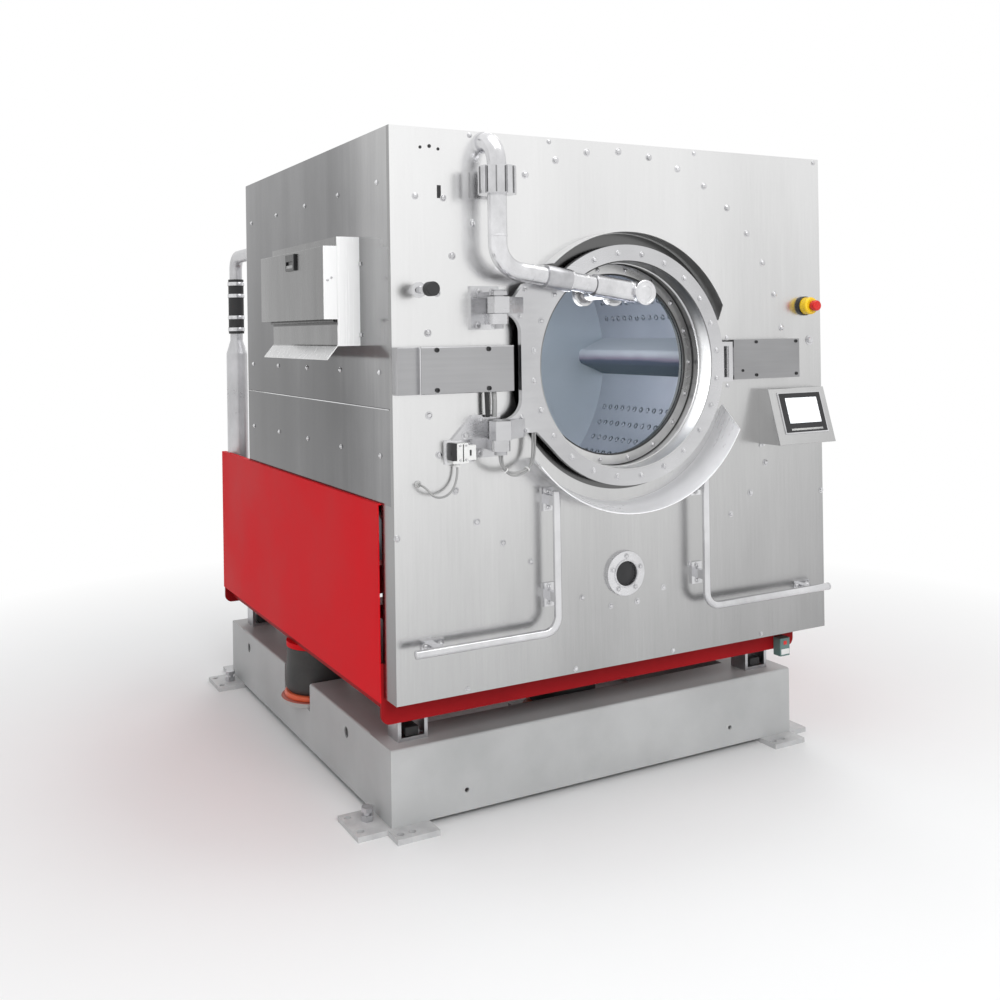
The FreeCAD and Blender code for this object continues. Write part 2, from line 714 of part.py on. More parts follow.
def tub_shell():
    """Rolled shell with the drain hole in its lowest line."""
    shell = ring(TUB_R, TUB_R - TUB_WALL, AXIS_X, AXIS_Z, TUB_FRONT + TUB_PLATE, TUB_BACK - TUB_PLATE)
    return shell.cut(post(DRAIN_R - DRAIN_WALL, AXIS_X, DRAIN_Y, AXIS_Z - TUB_R - TUB_WALL, AXIS_Z - TUB_R * 0.9))


def tub_ends():
    """Front plate with its flange, the neck that stands through the front panel, and the back plate."""
    front = ring(TUB_R + FLANGE_W, NECK_IN, AXIS_X, AXIS_Z, TUB_FRONT, TUB_FRONT + TUB_PLATE)
    neck = ring(NECK_OUT, NECK_IN, AXIS_X, AXIS_Z, FRONT - DOOR_GAP + SEAL_T + FREE, TUB_FRONT)
    back = ring(TUB_R, SHAFT_R + 5, AXIS_X, AXIS_Z, TUB_BACK - TUB_PLATE, TUB_BACK)
    return group([front, neck, back])


def tub_saddles():
    keep_out = disc(TUB_R + RUNNING, AXIS_X, AXIS_Z, FRONT, REAR)
    rise = AXIS_Z - TUB_R * 0.75
    outline = [(AXIS_X - TUB_R * 0.42, CROSS_TOP), (AXIS_X + TUB_R * 0.42, CROSS_TOP),
               (AXIS_X + TUB_R * 0.72, rise), (AXIS_X - TUB_R * 0.72, rise)]
    return group([plate_xz(outline, y - SADDLE_T / 2, y + SADDLE_T / 2).cut(keep_out)
                  for y in (SADDLE_FRONT, SADDLE_BACK)])


def drain_valve():
    """Stub under the tub, round valve body with its actuator, and the spigot for the drain hose."""
    bottom = AXIS_Z - TUB_R
    top = bottom - DRAIN_STUB
    half = ACTUATOR_W / 2
    stub = post(DRAIN_R, AXIS_X, DRAIN_Y, top, bottom + 40)
    stub = stub.cut(disc(TUB_R + RUNNING, AXIS_X, AXIS_Z, FRONT, REAR))
    stub = stub.cut(post(DRAIN_R - DRAIN_WALL, AXIS_X, DRAIN_Y, top + DRAIN_WALL, bottom + 60))
    body = post(VALVE_R, AXIS_X, DRAIN_Y, top - VALVE_H, top)
    spout = post(DRAIN_R - 3, AXIS_X, DRAIN_Y, RAIL_BOTTOM, top - VALVE_H)
    start = AXIS_X + DRAIN_R + 10
    actuator = box(start, start + ACTUATOR_L, DRAIN_Y - half, DRAIN_Y + half, top - VALVE_H - 5, top + 25)
    bore = post(DRAIN_R - DRAIN_WALL - 3, AXIS_X, DRAIN_Y, RAIL_BOTTOM - 1, top - VALVE_H - 4)
    return fuse([body, stub, spout, actuator]).cut(bore)


def bearing_housing():
    """Cast housing bolted to the back of the tub, with eight ribs."""
    bore = SHAFT_R + RUNNING
    neck = bore + 50
    profile = [(bore, TUB_BACK), (HOUSING_FLANGE_R, TUB_BACK), (HOUSING_FLANGE_R, TUB_BACK + 24),
               (neck + 40, TUB_BACK + 24), (neck, HOUSING_BACK), (bore, HOUSING_BACK)]
    parts = [turn_full(profile, AXIS_X, AXIS_Z)]
    outline = [(neck - 20, TUB_BACK + 10), (HOUSING_FLANGE_R - 12, TUB_BACK + 10),
               (HOUSING_FLANGE_R - 12, TUB_BACK + 30), (neck, HOUSING_BACK - 20), (neck - 20, HOUSING_BACK - 20)]
    corners = [V(AXIS_X + r, y, AXIS_Z - 8) for r, y in outline]
    rib = Part.Face(Part.makePolygon(corners + corners[:1])).extrude(V(0, 0, 16))
    for i in range(8):
        turned = rib.copy()
        turned.rotate(V(AXIS_X, 0, AXIS_Z), V(0, 1, 0), 45 * i)
        parts.append(turned)
    return fuse(parts)


def drum_shell():
    return ring(DRUM_R, DRUM_INNER, AXIS_X, AXIS_Z, DRUM_FRONT + DRUM_PLATE, DRUM_BACK - DRUM_PLATE)


def drum_ends():
    """Front ring round the mouth and the back plate that the spider carries."""
    front = ring(DRUM_R, MOUTH_R, AXIS_X, AXIS_Z, DRUM_FRONT, DRUM_FRONT + DRUM_PLATE)
    back = ring(DRUM_R, SHAFT_R * 0.5, AXIS_X, AXIS_Z, DRUM_BACK - DRUM_PLATE, DRUM_BACK)
    return group([front, back])


def drum_lifters():
    """Ridges along the drum that carry the linen up, with sloped flanks and a blunt crest."""
    inside = disc(DRUM_INNER, AXIS_X, AXIS_Z, DRUM_FRONT, DRUM_BACK)
    foot = LIFTER_W / 2
    crest = LIFTER_W * 0.16
    top = DRUM_INNER - LIFTER_H
    outline = [(top, -crest), (top, crest), (DRUM_INNER + 8, foot), (DRUM_INNER + 8, -foot)]
    y0 = DRUM_FRONT + DRUM_PLATE
    y1 = DRUM_BACK - DRUM_PLATE
    ridge = plate_xz([(AXIS_X + r, AXIS_Z + s) for r, s in outline], y0, y1)
    crests = [e for e in ridge.Edges if e.BoundBox.YLength > 100 and e.BoundBox.XMax < AXIS_X + top + 1]
    ridge = ridge.makeFillet(crest * 0.9, crests).common(inside)
    w = DRUM_WALL
    hollow = [(top + w, -crest + w), (top + w, crest - w), (DRUM_INNER + 8, foot - w), (DRUM_INNER + 8, -foot + w)]
    ridge = ridge.cut(plate_xz([(AXIS_X + r, AXIS_Z + s) for r, s in hollow], y0 + w, y1 - w))
    solids = []
    for i in range(LIFTER_COUNT):
        turned = ridge.copy()
        turned.rotate(V(AXIS_X, 0, AXIS_Z), V(0, 1, 0), 360.0 / LIFTER_COUNT * i)
        solids.append(turned)
    return group(solids)


def drum_spider():
    """Three-armed spider on the drum's back with the stepped shaft through the bearing housing."""
    parts = [disc(SHAFT_R + 50, AXIS_X, AXIS_Z, DRUM_BACK, DRUM_BACK + SPIDER_T)]
    reach = DRUM_R * 0.94
    for i in range(3):
        outline = [(0, -75), (reach, -45), (reach, 45), (0, 75)]
        arm = plate_xz([(AXIS_X + r, AXIS_Z + s) for r, s in outline], DRUM_BACK, DRUM_BACK + SPIDER_T)
        arm.rotate(V(AXIS_X, 0, AXIS_Z), V(0, 1, 0), 120 * i + 30)
        parts.append(arm)
    parts.append(disc(SHAFT_R, AXIS_X, AXIS_Z, DRUM_BACK, HOUSING_BACK))
    parts.append(disc(SHAFT_END_R, AXIS_X, AXIS_Z, HOUSING_BACK, PULLEY_Y + PULLEY_W + 5))
    return fuse(parts)


def grooved_profile(radius, inner):
    """(radius, y) outline of a rim with one groove for each belt."""
    points = [(inner, PULLEY_Y), (radius, PULLEY_Y)]
    middle = PULLEY_Y + PULLEY_W / 2
    for i in range(BELT_COUNT):
        centre = middle + (i - (BELT_COUNT - 1) / 2) * BELT_PITCH
        half = BELT_W / 2 + FREE
        floor = radius - BELT_SINK
        points += [(radius, centre - half), (floor, centre - half), (floor, centre + half), (radius, centre + half)]
    return points + [(radius, PULLEY_Y + PULLEY_W), (inner, PULLEY_Y + PULLEY_W)]


def drum_pulley():
    rim = turn_full(grooved_profile(PULLEY_R, PULLEY_R - BELT_SINK - 18), AXIS_X, AXIS_Z)
    web_y = PULLEY_Y + PULLEY_W / 2 - 10
    web = disc(PULLEY_R - BELT_SINK - 10, AXIS_X, AXIS_Z, web_y, web_y + 20)
    for i in range(6):
        a = math.radians(60 * i)
        r = PULLEY_R * 0.58
        web = web.cut(disc(PULLEY_R * 0.2, AXIS_X + r * math.cos(a), AXIS_Z + r * math.sin(a), web_y - 1, web_y + 21))
    hub = disc(SHAFT_R + 40, AXIS_X, AXIS_Z, PULLEY_Y, PULLEY_Y + PULLEY_W)
    return fuse([rim, web, hub]).cut(disc(SHAFT_END_R + RUNNING, AXIS_X, AXIS_Z, PULLEY_Y - 1, PULLEY_Y + PULLEY_W + 1))


def motor_pulley():
    sheave = turn_full(grooved_profile(MOTOR_PULLEY_R, 0.0), AXIS_X, MOTOR_Z)
    shaft = disc(MOTOR_SHAFT_R, AXIS_X, MOTOR_Z, PULLEY_Y + PULLEY_W, MOTOR_Y + 120)
    return fuse([sheave, shaft])


def belt_face(big, small, y):
    """Outline of a belt loop round both sheaves at the given radii."""
    span = AXIS_Z - MOTOR_Z
    lean = math.asin((big - small) / span)
    side = math.cos(lean)
    rise = math.sin(lean)
    right_big = V(AXIS_X + big * side, y, AXIS_Z - big * rise)
    left_big = V(AXIS_X - big * side, y, AXIS_Z - big * rise)
    right_small = V(AXIS_X + small * side, y, MOTOR_Z - small * rise)
    left_small = V(AXIS_X - small * side, y, MOTOR_Z - small * rise)
    edges = [Part.Arc(right_big, V(AXIS_X, y, AXIS_Z + big), left_big).toShape(),
             Part.LineSegment(left_big, left_small).toShape(),
             Part.Arc(left_small, V(AXIS_X, y, MOTOR_Z - small), right_small).toShape(),
             Part.LineSegment(right_small, right_big).toShape()]
    return Part.Face(Part.Wire(edges))


def belts():
    middle = PULLEY_Y + PULLEY_W / 2
    solids = []
    for i in range(BELT_COUNT):
        y = middle + (i - (BELT_COUNT - 1) / 2) * BELT_PITCH - BELT_W / 2
        sink = BELT_SINK - FREE
        outer = belt_face(PULLEY_R - sink + BELT_T, MOTOR_PULLEY_R - sink + BELT_T, y)
        inner = belt_face(PULLEY_R - sink, MOTOR_PULLEY_R - sink, y - 1)
        solids.append(outer.extrude(V(0, BELT_W, 0)).cut(inner.extrude(V(0, BELT_W + 2, 0))))
    return group(solids)


def motor():
    """Finned motor on its feet, with a terminal box on top."""
    y1 = MOTOR_Y + MOTOR_LENGTH
    core = disc(MOTOR_R * 0.86, AXIS_X, MOTOR_Z, MOTOR_Y, y1)
    bell = disc(MOTOR_R, AXIS_X, MOTOR_Z, y1 - 70, y1)
    flange = disc(MOTOR_R, AXIS_X, MOTOR_Z, MOTOR_Y, MOTOR_Y + 28)
    parts = [core, bell, flange]
    for i in range(MOTOR_FIN_COUNT):
        fin = box(AXIS_X + MOTOR_R * 0.8, AXIS_X + MOTOR_R, MOTOR_Y + 20, y1 - 60, MOTOR_Z - 4, MOTOR_Z + 4)
        fin.rotate(V(AXIS_X, 0, MOTOR_Z), V(0, 1, 0), 360.0 / MOTOR_FIN_COUNT * i)
        parts.append(fin)
    for side in (-1, 1):
        x = AXIS_X + side * MOTOR_R * 0.72
        parts.append(box(x - 55, x + 55, SPRING_Y - CROSS_W / 2, SPRING_Y + CROSS_W / 2, CROSS_TOP, MOTOR_Z))
    parts.append(box(AXIS_X - 75, AXIS_X + 75, MOTOR_Y + 110, MOTOR_Y + 260, MOTOR_Z, MOTOR_Z + MOTOR_R + 60))
    return fuse(parts).cut(disc(MOTOR_SHAFT_R + RUNNING, AXIS_X, MOTOR_Z, MOTOR_Y - 1, MOTOR_Y + 121))


def door_outline():
    """Face of the door plate: ring, hinge plate with its notch, and lock tab."""
    y = DOOR_FRONT
    round_part = Part.Face(Part.Wire(Part.makeCircle(RING_R, V(AXIS_X, y, AXIS_Z), V(0, 1, 0))))
    high = ARM_TOP_Z
    low = ARM_LOW_Z
    left = HINGE_X + 10
    crown = math.radians(130)
    heel = math.radians(222)
    points = [(left, high), (NOTCH_X - 22, high), (NOTCH_X + 12, high + 42),
              (AXIS_X + RING_R * math.cos(crown), AXIS_Z + RING_R * math.sin(crown)), (AXIS_X, AXIS_Z),
              (AXIS_X + RING_R * math.cos(heel), AXIS_Z + RING_R * math.sin(heel)), (NOTCH_X + 55, low + 12),
              (NOTCH_X - 55, low + 12), (NOTCH_X - 55, low), (left, low)]
    corners = [V(x, y, z) for x, z in points]
    hinge_part = Part.Face(Part.makePolygon(corners + corners[:1]))
    tab = [(AXIS_X, AXIS_Z - TAB_HALF), (TAB_X, AXIS_Z - TAB_HALF), (TAB_X, AXIS_Z + TAB_HALF),
           (AXIS_X, AXIS_Z + TAB_HALF)]
    tab_corners = [V(x, y, z) for x, z in tab]
    tab_part = Part.Face(Part.makePolygon(tab_corners + tab_corners[:1]))
    return round_part, hinge_part, tab_part


def hinge_notch():
    """Space between the two hinge arms, rounded where it meets the door ring."""
    low = ARM_LOW_Z + ARM_LOW_H
    high = ARM_TOP_Z - ARM_H
    block = box(HINGE_X - ARM_W, NOTCH_X, HINGE_Y - ARM_W, FRONT, low, high)
    edges = [e for e in block.Edges if e.BoundBox.YLength > 50 and e.BoundBox.XMin > NOTCH_X - 1]
    return block.makeFillet(NOTCH_ROUND, edges)


def door_blank():
    """Whole door plate with its hinge arms, notch, round hole and lock mortise."""
    solids = [face.extrude(V(0, DOOR_T, 0)) for face in door_outline()]
    for z0, z1 in ((ARM_TOP_Z - ARM_H, ARM_TOP_Z), (ARM_LOW_Z, ARM_LOW_Z + ARM_LOW_H)):
        knuckle = box(HINGE_X - ARM_BLOCK, HINGE_X + ARM_BLOCK, HINGE_Y - ARM_BLOCK, HINGE_Y + ARM_BLOCK, z0, z1)
        corners = [e for e in knuckle.Edges if e.BoundBox.ZLength > 20]
        web = [(HINGE_X - ARM_BLOCK + 9, HINGE_Y + ARM_BLOCK - 1), (HINGE_X + ARM_BLOCK - 3, HINGE_Y - 10),
               (NOTCH_X + 10, DOOR_FRONT), (NOTCH_X + 10, DOOR_BACK), (HINGE_X + 10, DOOR_BACK)]
        solids += [knuckle.makeFillet(ARM_BLOCK * 0.3, corners), plate_xy(web, z0, z1)]
    plate = fuse(solids).cut(hinge_notch())
    plate = plate.cut(disc(BOWL_R + RUNNING, AXIS_X, AXIS_Z, DOOR_FRONT - 1, DOOR_BACK + 1))
    plate = plate.cut(post(PIN_R + RUNNING, HINGE_X, HINGE_Y, ARM_LOW_Z - 1, ARM_TOP_Z + 1))
    middle = (DOOR_FRONT + DOOR_BACK) / 2
    depth = LOCK_BOLT_T / 2 + 1
    height = LOCK_SLOT_H / 2
    mortise = box(TAB_X - 41, TAB_X + 1, middle - depth, middle + depth, AXIS_Z - height, AXIS_Z + height)
    window = box(TAB_X - 40, TAB_X - 18, DOOR_FRONT - 1, middle, AXIS_Z - height, AXIS_Z + height)
    return plate.cut(mortise).cut(window)


def door_strip(x0, x1):
    """The part of the door plate between two upright welds."""
    return door_blank().common(box(x0, x1, HINGE_Y - ARM_W, FRONT, AXIS_Z - RING_R - 50, AXIS_Z + RING_R + 50))


def hinge_plate():
    return door_strip(HINGE_X - ARM_W, AXIS_X - DOOR_WELD)


def door_ring():
    return door_strip(AXIS_X - DOOR_WELD, AXIS_X + DOOR_WELD)


def lock_tab():
    return door_strip(AXIS_X + DOOR_WELD, TAB_X + 10)


def door_bowl():
    """Round well behind the door plate with a lip that the glass lies against."""
    lip = BOWL_R - CLAMP_W - BOWL_WALL
    profile = [(BOWL_R - BOWL_WALL, DOOR_FRONT), (BOWL_R, DOOR_FRONT), (BOWL_R, BOWL_BACK), (lip, BOWL_BACK),
               (lip, GLASS_BACK), (BOWL_R - BOWL_WALL, GLASS_BACK)]
    return turn_full(profile, AXIS_X, AXIS_Z)


def clamp_ring():
    outer = BOWL_R - BOWL_WALL - FREE
    return ring(outer, outer - CLAMP_W, AXIS_X, AXIS_Z, GLASS_FRONT - CLAMP_T, GLASS_FRONT)


def nozzle_places():
    return [(BRANCH_X, NOZZLE_Z), (PIPE_END_X, NOZZLE_Z)]


def door_glass():
    pane = disc(BOWL_R - BOWL_WALL - FREE, AXIS_X, AXIS_Z, GLASS_FRONT, GLASS_BACK)
    for x, z in nozzle_places():
        pane = pane.cut(disc(NOZZLE_TIP_R + FREE, x, z, GLASS_FRONT - 1, GLASS_BACK + 1))
    return pane


def spray_nozzles():
    """Flanged nozzles on the glass with their tips through it."""
    solids = []
    for x, z in nozzle_places():
        flange = disc(NOZZLE_R, x, z, GLASS_FRONT - NOZZLE_T, GLASS_FRONT)
        tip = disc(NOZZLE_TIP_R, x, z, GLASS_FRONT, BOWL_BACK)
        solids.append(flange.fuse(tip))
    return group(solids)


def spray_pipe():
    """Riser on the hinge axis, elbow, sloping manifold and two branches to the nozzles."""
    slope = math.tan(math.radians(PIPE_SLOPE))
    top = V(HINGE_X, HINGE_Y, UNION_Z - UNION_H + 40)
    corner = V(HINGE_X, HINGE_Y, PIPE_ELBOW_Z)
    end = V(PIPE_END_X, HINGE_Y, PIPE_ELBOW_Z - slope * (PIPE_END_X - HINGE_X))
    back = corner - end
    pipe = tube([top, corner, end], PIPE_R, PIPE_BEND)
    pipe = pipe.fuse(rod(PIPE_R + 5, end + back * 0.62, end + back * 0.5))
    pipe = pipe.fuse(rod(MANIFOLD_R, end + back * (MANIFOLD_L / back.Length), end))
    pipe = pipe.cut(tube([top, corner, end + back * 0.3], PIPE_R - PIPE_WALL, PIPE_BEND))
    for x, z in nozzle_places():
        pipe = pipe.fuse(disc(BRANCH_R, x, z, HINGE_Y, GLASS_FRONT - NOZZLE_T))
    x, z = nozzle_places()[1]
    cap_back = HINGE_Y - MANIFOLD_R - 2
    pipe = pipe.fuse(disc(MANIFOLD_R + 1.5, x, z, cap_back, HINGE_Y + MANIFOLD_R))
    return pipe.fuse(disc(CAP_END_R, x, z, cap_back - CAP_END_T, cap_back)).removeSplitter()


def union_nut():
    """Slotted round nut in which the riser swivels."""
    low = UNION_Z - UNION_H
    nut = post(UNION_R, HINGE_X, HINGE_Y, low, UNION_Z)
    nut = nut.cut(post(PIPE_R + FREE, HINGE_X, HINGE_Y, low - 1, UNION_Z + 1))
    for i in range(UNION_SLOTS):
        slot = box(HINGE_X + UNION_R - 4, HINGE_X + UNION_R + 2, HINGE_Y - 5, HINGE_Y + 5, low - 1, UNION_Z + 1)
        slot.rotate(V(HINGE_X, HINGE_Y, 0), V(0, 0, 1), 360.0 / UNION_SLOTS * i)
        nut = nut.cut(slot)
    return nut


def inlet_elbow():
    bend = HINGE_OUT - 10
    centre = UNION_Z + bend + 7
    points = [V(HINGE_X, FRONT, centre), V(HINGE_X, HINGE_Y, centre), V(HINGE_X, HINGE_Y, UNION_Z - 38)]
    pipe = tube(points, PIPE_R, bend)
    bore = tube(points, PIPE_R - PIPE_WALL, bend)
    flange = disc(PIPE_R + 4, HINGE_X, centre, FRONT - 8, FRONT)
    return fuse([pipe, flange]).cut(bore)


def visor():
    radius = RING_R + VISOR_REACH
    profile = [(radius, FRONT), (radius + VISOR_T, FRONT), (radius + VISOR_T, FRONT - VISOR_DEPTH),
               (radius, FRONT - VISOR_DEPTH)]
    sheet = turn_drum(profile, VISOR_START, VISOR_TURN)
    slant = [(FRONT, 0), (FRONT - VISOR_DEPTH - 1, 0), (FRONT - VISOR_DEPTH - 1, VISOR_DEPTH + 5)]
    wedge = plate_yz([(y, AXIS_Z + s) for y, s in slant], AXIS_X + radius - 30, AXIS_X + radius + 30)
    wedge.rotate(V(AXIS_X, 0, AXIS_Z), V(0, -1, 0), VISOR_START)
    return sheet.cut(wedge)


def scoop():
    """Flared lip under the door that leads drips and linen into the opening."""
    near = RING_R + SCOOP_REACH
    far = near + SCOOP_FLARE
    profile = [(near, FRONT), (near + SCOOP_T, FRONT), (far + SCOOP_T, FRONT - SCOOP_DEPTH),
               (far, FRONT - SCOOP_DEPTH)]
    sheet = turn_drum(profile, 219, 121.5)
    slant = [(FRONT + 1, 1), (FRONT - SCOOP_DEPTH - 1, 1), (FRONT - SCOOP_DEPTH - 1, -78)]
    wedge = plate_yz([(y, AXIS_Z + s) for y, s in slant], AXIS_X + near - 40, AXIS_X + far + 40)
    wedge.rotate(V(AXIS_X, 0, AXIS_Z), V(0, -1, 0), -19.5)
    return sheet.cut(wedge)


def ear(z0, z1):
    """Bearing ear from the panel to the hinge axis with a round nose."""
    root = [(HINGE_X - EAR_R, HINGE_Y), (HINGE_X + EAR_R, HINGE_Y), (HINGE_X + EAR_R, FRONT - 6), (HINGE_X - 8, FRONT - 6)]
    return fuse([plate_xy(root, z0, z1), post(EAR_R, HINGE_X, HINGE_Y, z0, z1)])


def hinge_brackets():
    half = ARM_W / 2
    upper_low = ARM_TOP_Z - ARM_H - 34
    upper_high = ARM_TOP_Z + 16
    upper_back = box(HINGE_X - half - 12, HINGE_X + half, FRONT - 10, FRONT, upper_low - 16, upper_high + 20)
    upper = fuse([upper_back, ear(upper_low, upper_low + 32), ear(upper_high - 12, upper_high)])
    lower_back = box(HINGE_X - half - 12, HINGE_X + half, FRONT - 10, FRONT, ARM_LOW_Z - 60, ARM_LOW_Z + 74)
    gusset = plate_xz([(HINGE_X - half - 84, ARM_LOW_Z), (HINGE_X - half - 12, ARM_LOW_Z),
                       (HINGE_X - half - 12, ARM_LOW_Z + 74)], FRONT - 10, FRONT)
    lower = fuse([lower_back, gusset, ear(ARM_LOW_Z - 34, ARM_LOW_Z)])
    pin_hole = post(PIN_R + RUNNING, HINGE_X, HINGE_Y, ARM_LOW_Z - 100, ARM_TOP_Z + 100)
    return group([upper.cut(pin_hole), lower.cut(pin_hole)])


def hinge_pins():
    upper_low = ARM_TOP_Z - ARM_H - 34
    upper = post(PIN_R, HINGE_X, HINGE_Y, upper_low - 14, ARM_TOP_Z + 16)
    upper_head = post(PIN_R + 6, HINGE_X, HINGE_Y, ARM_TOP_Z + 16, ARM_TOP_Z + 22)
    lower = post(PIN_R, HINGE_X, HINGE_Y, ARM_LOW_Z - 34, ARM_LOW_Z + ARM_LOW_H - 6)
    lower_head = post(PIN_R + 6, HINGE_X, HINGE_Y, ARM_LOW_Z - 46, ARM_LOW_Z - 34)
    return group([fuse([upper, upper_head]), fuse([lower, lower_head])])


def hinge_cover():
    """Grey housing beside the hinge: a shallow back with a deeper screwed cover over it."""
    z0 = AXIS_Z + 2 - COVER_H / 2
    z1 = z0 + COVER_H
    right = NOTCH_X - 16
    back = box(-HALF_W + 6, right, FRONT - COVER_BACK_DEPTH, FRONT, z0, z1)
    cover = box(right - 330, right - 8, FRONT - COVER_DEPTH, FRONT - COVER_BACK_DEPTH, z0, z1)
    edges = [e for e in cover.Edges if e.BoundBox.YMax < FRONT - COVER_DEPTH + 1]
    return fuse([back, cover.makeFillet(3.0, edges)])


def lock_box_span():
    x0 = TAB_X + 7
    return x0, x0 + LOCK_BOX_L, AXIS_Z - COVER_H / 2 + 8, AXIS_Z + COVER_H / 2 + 4


def lock_housing():
    """Hollow box on the panel with a mouth for the lock bolt and two guides behind it."""
    x0, x1, z0, z1 = lock_box_span()
    shell = box(x0, x1, FRONT - LOCK_BOX_DEPTH, FRONT, z0, z1)
    shell = shell.cut(box(x0 + 3, x1 - 3, FRONT - LOCK_BOX_DEPTH + 2, FRONT + 1, z0 + 3, z1 - 3))
    middle = (DOOR_FRONT + DOOR_BACK) / 2
    depth = LOCK_BOLT_T / 2 + FREE
    guide = box(x0 + 3, x1 - 60, FRONT - LOCK_BOX_DEPTH + 2, FRONT, z0 + 3, z1 - 3)
    mouth = box(x0 - 1, x1 - 40, middle - depth, middle + depth, AXIS_Z - LOCK_BOLT_H / 2 - FREE,
                AXIS_Z + LOCK_BOLT_H / 2 + FREE)
    return fuse([shell, guide]).cut(mouth)


def lock_bolt():
    x0, x1, z0, z1 = lock_box_span()
    middle = (DOOR_FRONT + DOOR_BACK) / 2
    half = LOCK_BOLT_T / 2
    bolt = box(x0 + 1, x0 + 190, middle - half, middle + half, AXIS_Z - LOCK_BOLT_H / 2, AXIS_Z + LOCK_BOLT_H / 2)
    nose = [e for e in bolt.Edges if e.BoundBox.XMax < x0 + 2 and e.BoundBox.ZLength > 50]
    return bolt.makeChamfer(3.0, nose)


def door_seal():
    return ring(NECK_OUT + 8, NECK_IN + FREE, AXIS_X, AXIS_Z, FRONT - DOOR_GAP + FREE, FRONT - DOOR_GAP + SEAL_T + FREE)


def sight_port():
    z = AXIS_Z - PORT_DROP
    flange = disc(PORT_R, AXIS_X, z, FRONT - 14, FRONT)
    rim = [e for e in flange.Edges if e.BoundBox.YMax < FRONT - 13 and e.Length > PORT_R]
    flange = flange.makeFillet(3.0, rim)
    sleeve = disc(PORT_BORE_R + 4, AXIS_X, z, FRONT - 1, FRONT + PANEL_T)
    return fuse([flange, sleeve]).cut(disc(PORT_BORE_R, AXIS_X, z, FRONT - 15, FRONT + PANEL_T - 3))


def rail_route(sign):
    x = AXIS_X + sign * RAIL_OFFSET
    y = FRONT - RAIL_OUT
    return [V(x, y, RAIL_HIGH_Z), V(x, y, RAIL_LOW_Z), V(sign * (HALF_W - RAIL_END), y, RAIL_LOW_Z)]


def guard_rails():
    return group([tube(rail_route(sign), RAIL_TUBE_R, RAIL_BEND) for sign in (-1, 1)])


def rail_brackets():
    """Plate on the panel with a stub to the rail, three for each rail, lying along the rail."""
    solids = []
    y = FRONT - RAIL_OUT
    back = FRONT - BRACKET_T
    upright = (BRACKET_W / 2, BRACKET_L / 2)
    level = (BRACKET_L / 2, BRACKET_W / 2)
    for sign in (-1, 1):
        x = AXIS_X + sign * RAIL_OFFSET
        far = sign * (HALF_W - RAIL_END - 80)
        rail = tube(rail_route(sign), RAIL_TUBE_R, RAIL_BEND)
        places = [(x, RAIL_HIGH_Z - 30, upright), (x, RAIL_LOW_Z + 108, upright), (far, RAIL_LOW_Z, level)]
        for px, pz, (half_x, half_z) in places:
            plate = box(px - half_x, px + half_x, back, FRONT, pz - half_z, pz + half_z)
            stub = box(px - half_x * 0.4, px + half_x * 0.4, y, back, pz - half_z * 0.4, pz + half_z * 0.4)
            solids.append(fuse([plate, stub]).cut(rail))
    return group(solids)


def console_span():
    x1 = HALF_W - 38
    z0 = AXIS_Z - CONSOLE_DROP
    return x1 - CONSOLE_W, x1, z0, z0 + CONSOLE_H


def console_housing():
    x0, x1, z0, z1 = console_span()
    body = plate_yz([(FRONT, z0), (FRONT, z1), (FRONT - CONSOLE_TOP_DEPTH, z1), (FRONT - CONSOLE_LOW_DEPTH, z0)],
                    x0, x1)
    edges = [e for e in body.Edges if e.BoundBox.YMax < FRONT - CONSOLE_TOP_DEPTH + 1]
    return body.makeFillet(4.0, edges)


def console_screen():
    """Framed touch panel lying on the console's sloped face."""
    x0, x1, z0, z1 = console_span()
    lean = math.degrees(math.atan2(CONSOLE_LOW_DEPTH - CONSOLE_TOP_DEPTH, CONSOLE_H))
    middle = (x0 + x1) / 2 + 3
    slope = math.hypot(CONSOLE_LOW_DEPTH - CONSOLE_TOP_DEPTH, CONSOLE_H)
    top = (slope - SCREEN_H) * 0.32
    slab = box(middle - SCREEN_W / 2, middle + SCREEN_W / 2, FRONT - CONSOLE_TOP_DEPTH - SCREEN_T,
               FRONT - CONSOLE_TOP_DEPTH, z1 - top - SCREEN_H, z1 - top)
    edges = [e for e in slab.Edges if e.BoundBox.YMax < FRONT - CONSOLE_TOP_DEPTH - SCREEN_T + 1]
    slab = slab.makeFillet(2.0, edges)
    slab.rotate(V(0, FRONT - CONSOLE_TOP_DEPTH, z1), V(1, 0, 0), -lean)
    return slab


def e_stop_place():
    return HALF_W - 83, AXIS_Z + 197


def e_stop_body():
    x, z = e_stop_place()
    foot_face = FRONT - STOP_FOOT_T
    face = foot_face - STOP_BODY_L
    foot = disc(STOP_BASE_R, x, z, foot_face, FRONT)
    body = disc(STOP_BODY_R, x, z, face, foot_face)
    rim = [e for e in body.Edges if e.BoundBox.YMax < face + 1 and e.Length > STOP_BODY_R]
    stem_hole = disc(STOP_STEM_R + FREE, x, z, face - 1, foot_face + FREE)
    return fuse([foot, body.makeFillet(8.0, rim)]).cut(stem_hole)


def e_stop_button():
    x, z = e_stop_place()
    foot_face = FRONT - STOP_FOOT_T
    head_back = foot_face - STOP_BODY_L - STOP_GAP - STOP_PRESS
    head_face = head_back - STOP_HEAD_T
    stem = disc(STOP_STEM_R, x, z, head_face + STOP_HEAD_T / 2, foot_face - STOP_PRESS - FREE)
    head = disc(STOP_HEAD_R, x, z, head_face, head_back)
    rim = [e for e in head.Edges if e.BoundBox.YMax < head_face + 1 and e.Length > STOP_HEAD_R]
    return fuse([stem, head.makeFillet(7.0, rim)])


def bumper_place():
    return HINGE_X - 230, AXIS_Z + 249


